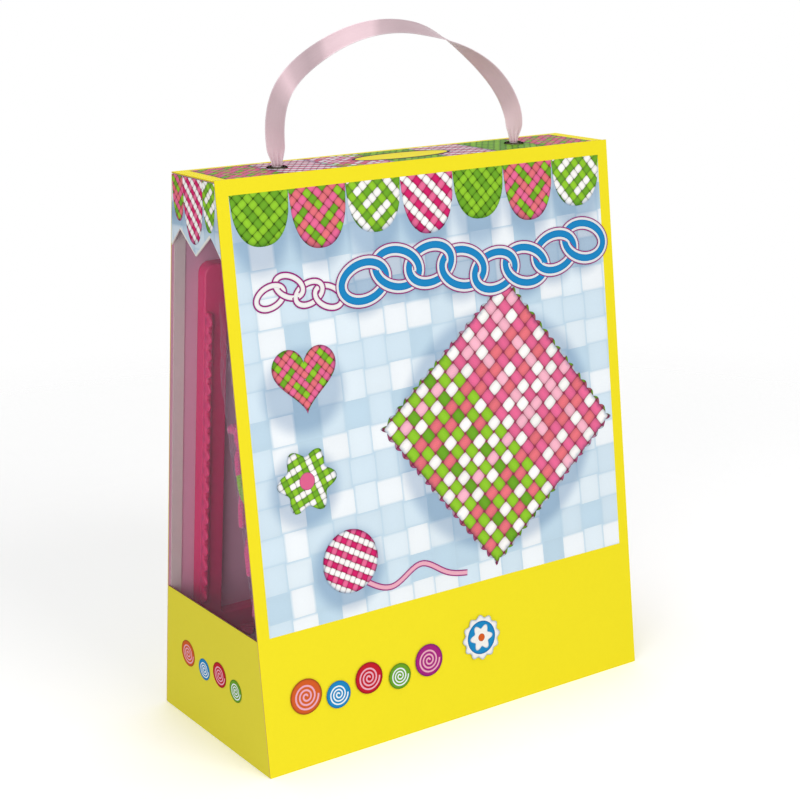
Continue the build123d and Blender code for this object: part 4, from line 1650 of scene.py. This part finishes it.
    def cut_tail(self, middle: Array, turn: int) -> list[Patch]:
        """Makes one tail below a knot: a strip that widens downwards, with a slanting cut.

        Args:
            middle: The knot's middle.
            turn: The side that it hangs to, -1 or 1.

        Returns:
            Its two faces and lower edge, and its side edges.
        """
        drop, a = grid(between(0, 1, 14), between(-1, 1, 13))
        (narrow, broad), (near, far) = self.tail_halves, self.tail_spread
        wide = narrow + (broad - narrow) * smooth_step(drop * 2)
        x = middle[0] + turn * self.tail_aside + wide * a
        y = turn * (near + far * drop) + self.tail_curl * np.sin(2.5 * a + turn) * drop
        z = self.knot_z - self.tail_start - (self.tail_drop + self.tail_slant * a * turn) * drop
        strip = np.stack([x, y, z], -1)
        front, back = (strip + np.array([0.0, way * self.tail_thickness * turn, 0.0]) for way in (1, -1))
        both = np.concatenate([front, back[::-1], front[:1]])
        uv = np.stack([np.tile(a, (3, 1))[: len(both)], both[..., 2]], -1)
        sides = [Patch(np.stack([front[:, column], back[:, column]], 1)) for column in (0, -1)]
        return [Patch(both, uv), *sides]

    def make(self) -> None:
        """Makes the ribbon, the eyelets and the knots."""
        satin = Satin("pink_satin").make()
        metal = Metal("dark_nickel", DARK_NICKEL, 0.06, self.dark_edge).make()
        LOG.info("ribbon of %.3f m", self.ribbon(satin))
        for way in SIDES:
            self.eyelet(way, metal)
            self.washer(way, metal)
            self.knot(way, satin)


@dataclass
class Loom:
    """The loom: a square channel moulding with a low rim and a row of pegs along each side.

    Its levels run from a peg's root (0) to its tip (1), and the widths and depths are half sizes.
    """

    size: float = 219.0
    rail: float = 14.0
    depth: float = 7.5
    wall: float = 2.0
    edge: float = 0.9
    corner: float = 6.0
    inner_corner: float = 3.0
    corner_steps: int = 9
    foot_y: float = 52.016
    foot_z: float = 37.482
    pegs: int = 18
    pitch: float = 9.4
    peg_height: float = 7.0
    peg_sunk: float = 0.2
    peg_levels: tuple[float, ...] = (0.0, 0.25, 0.5, 0.75, 0.92, 1.0, 1.0)
    peg_rounding: tuple[float, ...] = (1, 1, 1, 1, 0.95, 0.6, 0.0)
    peg_widths: Place = (4.4, 3.6, 1.1)
    peg_depths: Spot = (1.8, 0.6)
    rim: float = 3.5
    rim_wide: float = 3.6
    rim_sunk: float = 0.3
    rim_overhang: float = 4.0
    rim_ends: tuple[float, ...] = (-1, -1, -0.995, -0.985, 0.985, 0.995, 1, 1)
    rim_rounding: tuple[float, ...] = (0, 0.7, 0.92, 1, 1, 0.92, 0.7, 0)

    def at(self, flat: Array, forward: Array) -> Array:
        """Places (across, up) points in front of the loom's back, which lies along the back panel."""
        return CartonForm().inside(1, self.foot_y, self.foot_z).at(flat, forward)

    def on_side(self, side: int, x: Array, y: Array, z: Array) -> Patch:
        """Turns a surface made for the loom's top side on to one of its four sides.

        Args:
            side: How many quarter turns it takes.
            x: How far its points lie along the side.
            y: How far past the loom's edge.
            z: How far in front of its back.

        Returns:
            The surface.
        """
        flat = turned(np.stack([x, y + self.size / 2], -1), 90 * side)
        return Patch(self.at(flat + (0, self.size / 2), z))

    def frame(self) -> Patch:
        """Carries the channel's outline round a square with rounded corners.

        The outline's points are (distance in from the outer edge, height above the back). At each
        turn round the loom the point is the corner's middle plus its radius times (cos, sin).

        Returns:
            The surface.
        """
        edge, hollow, roof = self.edge, self.rail - self.wall, self.depth - self.wall
        t = between(0, np.pi / 2, 5)
        outer = np.stack([edge - edge * np.cos(t), self.depth - edge + edge * np.sin(t)], -1)
        inner = np.stack([self.rail - edge + edge * np.sin(t), self.depth - edge + edge * np.cos(t)], -1)
        under = [
            [self.rail, 0.0], [hollow, 0.0], [hollow, roof], [self.wall, roof], [self.wall, 0.0], [0.0, 0.0]]
        outline = np.concatenate([[[0.0, 0.0]], outer, inner, under])
        steps = self.corner_steps
        turn = np.concatenate([between(k, k + 1, steps) * np.pi / 2 for k in range(4)] + [[TURN]])
        corner = np.concatenate([np.full(steps, k) for k in range(4)] + [[0]])
        way_x = np.array([1, -1, -1, 1])[corner]
        way_y = np.array([1, 1, -1, -1])[corner]
        inset, high = outline[:, 0][None, :], outline[:, 1][None, :]
        radius = self.corner + (self.inner_corner - self.corner) * inset / self.rail
        half = self.size / 2 - inset - radius
        a = way_x[:, None] * half + radius * np.cos(turn)[:, None]
        b = way_y[:, None] * half + radius * np.sin(turn)[:, None]
        return Patch(self.at(np.stack([a, b + self.size / 2], -1), high + 0 * a))

    def rims(self) -> list[Patch]:
        """Makes the low rim under each row of pegs: a rounded bar, |y|^4 + |z|^4 = 1, closed at its ends.

        Returns:
            The four surfaces.
        """
        half = (self.pegs - 1) * self.pitch / 2 + self.rim_overhang
        full = np.array(self.rim_rounding)[:, None]
        angle = between(0, TURN, 17)
        y = -self.rim_wide / 2 + self.rim_wide / 2 * full * squared(angle) * np.cos(angle)
        middle, reach = self.depth + self.rim / 2 - self.rim_sunk, self.rim / 2 + self.rim_sunk
        z = middle + reach * full * squared(angle) * np.sin(angle)
        x = half * np.array(self.rim_ends)[:, None] + 0 * y
        return [self.on_side(side, x, y, z) for side in range(4)]

    def peg_rows(self) -> list[Patch]:
        """Makes each peg as a stack of rounded rectangles that shrink from root to tip.

        Its outer face is upright. The outline is |x/w|^4 + |y/d|^4 = 1, closed at the tip.

        Returns:
            The surfaces of all pegs.
        """
        levels, rounding = np.array(self.peg_levels), np.array(self.peg_rounding)
        wide = np.interp(levels, [0, 0.5, 1], self.peg_widths) * rounding
        inset = np.interp(levels, [0, 1], self.peg_depths)
        angle = between(0, TURN, 13)
        x = wide[:, None] * squared(angle) * np.cos(angle)
        y = -inset[:, None] + (inset * rounding)[:, None] * squared(angle) * np.sin(angle)
        z = self.depth - self.peg_sunk + (self.peg_height + self.peg_sunk) * levels[:, None] + 0 * x
        made = []
        for side in range(4):
            for index in range(self.pegs):
                made.append(self.on_side(side, x + (index - (self.pegs - 1) / 2) * self.pitch, y, z))
        return made

    def make(self) -> None:
        """Makes the loom as one moulding."""
        pink = Moulding("loom_pink", LOOM_PINK, soft=0.45).make()
        surfaces = [self.frame(), *self.rims(), *self.peg_rows()]
        made = build("loom_moulding", surfaces, [pink], "loom", crease=50)
        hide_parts("loom_frame")


@dataclass
class LoopBag:
    """The clear bag and the cotton loops in it.

    Its heights are shares of its height, and at each of them the widths, depths and leans are shares of
    its half width, its half depth and its lean towards the loom.
    """

    gap: float = 0.8
    height: float = 204.0
    half_width: float = 117.5
    half_depth: float = 15.5
    lean: float = 15.0
    foot_y: float = -52.198
    foot_z: float = 38.5
    heights: tuple[float, ...] = (0.0, 0.14, 0.5, 0.8, 1.0)
    widths: tuple[float, ...] = (0.88, 0.985, 1.005, 0.985, 0.955)
    depths: tuple[float, ...] = (0.45, 0.88, 1.0, 0.77, 0.09)
    leans: tuple[float, ...] = (0.0, 0.0, 0.05, 0.85, 1.0)
    film_inset: Spot = (1.0, 0.9)
    foot_run: float = 0.06
    foot_depth: float = 0.35
    ripple_depth: float = 0.05
    edge_pull: float = 0.012
    header_share: float = 0.86
    header_run: float = 0.1
    header_sway: float = 1.6
    seed: int = 7
    layer_turns: tuple[int, ...] = (8, 82, -24, 58, -6, 96, 20)
    loop_pitch: float = 94.0
    loops_each_way: int = 2
    row_pitch: float = 14.0
    rows_each_way: int = 9
    rows_middle: float = 86.0
    jitter: Spot = (3.0, 2.0)
    upright_margin: float = 20.0
    level_margin: float = 4.0
    loop_half: Spot = (40.0, 47.0)
    loop_beside: Spot = (4.2, 7.0)
    loop_tube: Spot = (1.7, 2.4)
    loop_steps: int = 53
    loop_blunt: float = 0.7
    loop_pinch: float = 0.3
    loop_bend: float = 0.006
    loop_wave: float = 1.2
    loop_spread: float = 13.0
    loop_span: float = 42.0
    loop_low: float = 12.0
    loop_high: float = 166.0
    loop_middle: float = 89.0
    loop_room: float = 84.0
    loop_clearance: Spot = (2.9, 3.4)
    shoulder_drop: float = 34.0
    shoulder_start: float = 74.0
    shoulder_run: float = 30.0
    side_reach: float = 104.0
    side_green: tuple[Spot, ...] = ((88.0, 103.0), (56.0, 64.0))

    def at(self, across: Array, inward: Array, up: Array) -> Array:
        """Places points across the carton, behind the inside of the front panel, and up it."""
        return CartonForm().inside(-1, self.foot_y, self.foot_z).at(np.stack([across, up], -1), inward)

    def half_at(self, share: Any, table: tuple[float, ...], full: float) -> Any:
        """Returns the bag's half width or depth at a share of its height."""
        return full * np.interp(share, self.heights, table)

    def middle_at(self, share: Any) -> Any:
        """Returns the bag's middle, from the front panel's inside, at a share of its height."""
        return self.gap + self.half_depth + self.lean * np.interp(share, self.heights, self.leans)

    def film(self) -> Patch:
        """Makes the bag's film.

        It is a ring |x|^4 + |y|^4 = 1 at each height, flattened towards its foot and its top seal. Slow
        crossing waves push its faces about, and its header sways from side to side.

        Returns:
            The surface, closed at the foot and at the top.
        """
        h, t = grid(between(0, 1, 110), between(0, TURN, 201))
        closing = np.sqrt(np.clip(1 - (1 - np.minimum(h / self.foot_run, 1)) ** 2, 0.0, 1))
        wide = self.half_at(h, self.widths, self.half_width - self.film_inset[0])
        deep = self.half_at(h, self.depths, self.half_depth - self.film_inset[1])
        deep = deep * (self.foot_depth + (1 - self.foot_depth) * closing)
        x = wide * squared(t) * np.cos(t)
        y = deep * squared(t) * np.sin(t)
        z = h * self.height
        free = np.sin(np.pi * np.clip(h * 1.02, 0, 1)) ** 0.5
        ripple = 0.9 * np.sin(x * 0.11 + z * 0.05 + 1.3) * np.sin(z * 0.13 - x * 0.03)
        ripple += 0.5 * np.sin(x * 0.27 - z * 0.19 + 2 * np.sin(z * 0.05)) + 0.25 * np.sin(x * 0.7 + z * 0.5)
        past = h - self.header_share
        sway = smooth_step(past / self.header_run) * self.header_sway
        wave = sway * np.sin(x * 0.06 + 0.5) * past / (1 - self.header_share)
        pull = self.edge_pull * np.sin(z * 0.35 + y) * free
        y = y * (1 + self.ripple_depth * ripple * free) + wave
        x = x * (1 - np.abs(pull))
        middle = self.middle_at(h)
        body = self.at(x, middle + y, z)
        foot = self.at(x[:1] * 0, middle[:1] + 0 * y[:1], z[:1])
        head = self.at(x[-1:] * 0.5, middle[-1:] + wave[-1:], z[-1:])
        uv = np.stack([x, z], -1) * 0.1
        return Patch(np.concatenate([foot, body, head]), np.concatenate([uv[:1], uv, uv[-1:]]))

    def loop(self, draw: np.random.Generator, x: float, y: float, z: float, turn: float) -> Array:
        """Makes the path of one loop.

        It is a long ring, a cos t by b sin t, pinched or swollen along its length, bent sideways, and
        waved in depth. Near the bag's wall it is pressed flat against it.

        Args:
            draw: The source of chance.
            x: Its middle across the bag.
            y: Its middle in the bag's depth, as a share of the half depth.
            z: Its middle up the bag.
            turn: Its turn in the bag's plane, in degrees.

        Returns:
            The path's points in the bag's axes, the last one at the first.
        """
        t = between(0, TURN, self.loop_steps)
        along = draw.uniform(*self.loop_half) * np.cos(t)
        blunt = np.abs(np.sin(t)) ** self.loop_blunt
        beside = draw.uniform(*self.loop_beside) * np.sign(np.sin(t)) * blunt
        beside = beside * (1 + chance(draw, self.loop_pinch) * np.cos(2 * t + draw.uniform(0, TURN)))
        beside = beside + chance(draw, 1) * self.loop_bend * along**2
        beside = beside + chance(draw, self.loop_wave) * np.sin(along * 0.09 + draw.uniform(0, TURN))
        angle = np.radians(turn + chance(draw, self.loop_spread))
        across = x + along * np.cos(angle) - beside * np.sin(angle)
        up = z + along * np.sin(angle) + beside * np.cos(angle)
        past = smooth_step((np.abs(across) - self.shoulder_start) / self.shoulder_run)
        up = self.press(up - self.loop_middle, self.loop_room - self.shoulder_drop * past) + self.loop_middle
        share = up / self.height
        room = self.half_at(share, self.widths, self.half_width) - self.loop_clearance[0]
        depth = self.half_at(share, self.depths, self.half_depth) - self.loop_clearance[1]
        across = self.press(across, room)
        bulge = np.sqrt(np.clip(1 - (np.abs(across) / (room + 3.0)) ** 8, 0.05, 1))
        inward = self.middle_at(share) + bulge * depth * y + 0.8 * np.sin(t * 2 + draw.uniform(0, TURN))
        path = np.stack([across, inward, up], -1)
        path[-1] = path[0]
        return path

    def press(self, place: Array, room: Any) -> Array:
        """Holds places inside a room: beyond 0.85 of it they rise as a hyperbolic tangent.

        Args:
            place: The places, from the room's middle.
            room: How far the room reaches each way.

        Returns:
            The places held.
        """
        free = 0.85
        share = np.abs(place) / room
        held = np.where(share < free, share, free + (1 - free) * np.tanh((share - free) / (1 - free)))
        return np.sign(place) * held * room

    def knitted(self, path: Array) -> Patch:
        """Carries the cotton tube round a loop's path.

        Args:
            path: The path's points in the bag's axes.

        Returns:
            The tube.
        """
        centre = self.at(path[:, 0], path[:, 1], path[:, 2])
        ends = self.at(np.zeros(2), np.array([0.0, 1.0]), np.zeros(2))
        side = np.tile(unit(ends[1:] - ends[:1]), (len(centre) + 6, 1))
        ring = tube(np.concatenate([centre[-4:-1], centre, centre[1:4]]), side, *self.loop_tube, 8)[3:-3]
        ring[-1] = ring[0]
        return Patch(ring, pattern(between(0, 1, 9)[None, :], lengths(centre)[:, None]))

    def kind(self, count: int, layer: int, x: float, z: float, spin: float) -> int:
        """Chooses a loop's cotton: mixed inside the bag, and pink with two green stretches at its sides.

        The mix is 5 times the count plus the layer, its remainder by 7 and then by 3.

        Args:
            count: How many loops there are already.
            layer: The layer's number.
            x: The loop's middle across the bag.
            z: Its middle up the bag.
            spin: The layer's turn in radians.

        Returns:
            0 for pink, 1 for green or 2 for white.
        """
        if abs(x) + self.loop_span * abs(np.cos(spin)) > self.side_reach:
            return int(any(low < z < high for low, high in self.side_green))
        return (count * 5 + layer) % 7 % 3

    def loops(self) -> list[list[Patch]]:
        """Packs loops in layers through the bag's depth, each layer laid another way.

        Their middles are laid as bricks are, and moved a little by chance.

        Returns:
            The patches of the pink, the green and the white loops.
        """
        draw = np.random.default_rng(self.seed)
        made: list[list[Patch]] = [[], [], []]
        middle = len(self.layer_turns) // 2
        count = 0
        for layer, turn in enumerate(self.layer_turns):
            spin = np.radians(turn)
            c, s = np.cos(spin), np.sin(spin)
            margin = self.upright_margin if abs(c) < 0.3 else self.level_margin
            for row in range(-self.rows_each_way, self.rows_each_way + 1):
                for place in range(-self.loops_each_way, self.loops_each_way + 1):
                    off_a, off_b = (place + 0.5 * (row % 2)) * self.loop_pitch, row * self.row_pitch
                    x = off_a * c - off_b * s + chance(draw, self.jitter[0])
                    z = self.rows_middle + off_a * s + off_b * c + chance(draw, self.jitter[1])
                    if abs(x) > self.half_width - margin or not self.loop_low < z < self.loop_high:
                        continue
                    path = self.loop(draw, x, (layer - middle) / middle, z, turn)
                    made[self.kind(count, layer, x, z, spin)].append(self.knitted(path))
                    count += 1
        LOG.info("%d loops", count)
        return made

    def make(self) -> None:
        """Makes the bag and its loops."""
        clear = Film("bag_film", haze=0.03, gloss=0.5, ripple=0.6, ripple_scale=60.0).make()
        made = build("loop_bag_film", [self.film()], [clear], "bag", crease=80)
        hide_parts("loop_bag")
        colours = (("pink", COTTON_PINK), ("green", COTTON_GREEN), ("white", COTTON_WHITE))
        for (name, colour), patches in zip(colours, self.loops()):
            cotton = Knit("cotton_" + name, colour).make()
            made = build("loops_" + name + "_knit", patches, [cotton], "bag", crease=80)
            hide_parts("loops_" + name)


@dataclass
class Contents:
    """The weaving hook, the booklet and its staples, under the platform."""

    hook_rough: float = 0.35
    staple_rough: float = 0.3

    def make(self) -> None:
        """Gives the small nodes their finishes."""
        cover("weaving_hook", Moulding("hook_white", HOOK_WHITE, self.hook_rough).make())
        cover("instruction_booklet", Board("booklet_paper", PAPER).make())
        cover("booklet_staples", Metal("staple_wire", STAPLE_STEEL, self.staple_rough).make())


@dataclass(frozen=True)
class Lamp:
    """A square lamp, in metres and watts, that faces a point."""

    name: str
    place: Place
    aim: Place
    size: float
    power: float

    def hang(self) -> None:
        """Hangs the lamp: its axes are the way back from its aim, level across that, and their cross."""
        data = bpy.data.lights.new(self.name, "AREA")
        data.size = self.size
        data.energy = self.power
        back = unit(np.array(self.place) - np.array(self.aim))
        right = unit(np.cross([0.0, 0.0, 1.0], back))
        stand(self.name, data, np.stack([right, np.cross(back, right), back], 1), self.place)


def stand(name: str, data: bpy.types.ID, axes: Array, place: Any) -> bpy.types.Object:
    """Puts a lamp or a camera in the scene.

    Args:
        name: Its name.
        data: The lamp or camera.
        axes: Its three axes, as columns.
        place: Where it is, in metres.

    Returns:
        The object.
    """
    matrix = np.eye(4)
    matrix[:3, :3] = axes
    matrix[:3, 3] = place
    made = bpy.data.objects.new(name, data)
    bpy.context.scene.collection.objects.link(made)
    made.matrix_world = Matrix(matrix.tolist())
    return made


@dataclass
class Studio:
    """The floor, the lamps and the camera. Angles are in degrees."""

    camera_place: Place = (-531.05, -766.1, 428.075)
    yaw: float = 34.62
    pitch: float = 15.57
    roll: float = -0.61
    focal_pixels: float = 1751.0
    picture: float = 800.0
    sensor: float = 36.0
    sight: Spot = (0.05, 20.0)
    surroundings_light: float = 0.5
    floor_half: float = 6000.0
    floor_z: float = -0.05
    floor_clear: float = 0.35
    floor_fade: float = 0.5
    floor_white: Colour = (1.2, 1.2, 1.2)
    lamps: tuple[Lamp, ...] = (
        Lamp("key", (0.35, -1.7, 1.35), (0.0, 0.0, 0.17), 1.1, 12.6),
        Lamp("fill", (-1.3, -1.06, 0.5), (0.0, 0.0, 0.17), 0.9, 9.4),
        Lamp("top", (0.0, 0.2, 2.0), (0.0, 0.0, 0.2), 1.2, 8.6))

    def camera(self) -> None:
        """Places the camera as the photograph's was: ahead by yaw and pitch, and rolled about that."""
        yaw, pitch, roll = np.radians([self.yaw, self.pitch, self.roll])
        ahead = np.array([np.sin(yaw) * np.cos(pitch), np.cos(yaw) * np.cos(pitch), -np.sin(pitch)])
        right = unit(np.cross(ahead, [0.0, 0.0, 1.0]))
        above = np.cross(right, ahead)
        across = np.cos(roll) * right + np.sin(roll) * above
        up = -np.sin(roll) * right + np.cos(roll) * above
        data = bpy.data.cameras.new("camera")
        data.sensor_width = self.sensor
        data.lens = self.focal_pixels / self.picture * self.sensor
        data.clip_start, data.clip_end = self.sight
        place = np.array(self.camera_place) * MM
        bpy.context.scene.camera = stand("camera", data, np.stack([across, up, -ahead], 1), place)

    def world(self) -> None:
        """Makes the surroundings white to the eye and in reflections, but dim as a light."""
        made = Shader("studio", world=True)
        seen = made.node("ShaderNodeLightPath", {}, {}, "Is Camera Ray")
        rays = seen.socket.node.outputs
        for ray in ("Is Transmission Ray", "Is Glossy Ray"):
            seen = made.maths("MAXIMUM", seen, Sock(made, rays[ray]))
        levels = {"To Min": self.surroundings_light, "To Max": 1.0, "Value": seen}
        strength = made.node("ShaderNodeMapRange", {}, levels)
        light = made.node("ShaderNodeBackground", {}, {"Strength": strength, "Color": (1.0, 1.0, 1.0)})
        bpy.context.scene.world = made.finish(light, "World")

    def floor(self) -> None:
        """Lays a wide pale floor at table height, brighter to the eye so that only shadow shows."""
        line = between(-self.floor_half, self.floor_half, 13)
        y, x = grid(line, line)
        points = np.stack([x, y, np.full_like(x, self.floor_z)], -1)
        made = Shader("floor_white")
        seen = made.node("ShaderNodeLightPath", {}, {}, "Is Camera Ray")
        place = made.place()
        grain = made.noise(place, 3.0)
        colour = made.mix(seen, FLOOR_PALE, made.tint(self.floor_white, 0.99 + grain * 0.02))
        x, y, _ = made.axes(place)
        far = made.clamp(((x * x + y * y) ** 0.5 - self.floor_clear) / self.floor_fade)
        shader = made.blend(far, made.surface(Base_Color=colour, Roughness=0.9), made.clear())
        piece = build("floor", [Patch(points)], [made.finish(shader)], "carton", outward=(0.0, 0.0, 1.0))

    def make(self) -> None:
        """Sets up the whole studio."""
        self.camera()
        for lamp in self.lamps:
            lamp.hang()
        self.world()
        self.floor()
        bpy.context.scene.view_settings.view_transform = "Standard"


def main() -> None:
    logging.basicConfig(level=logging.INFO, format="%(name)s %(message)s")
    Carton().make()
    Handle().make()
    Loom().make()
    LoopBag().make()
    Contents().make()
    Studio().make()


if __name__ == "__main__":
    main()
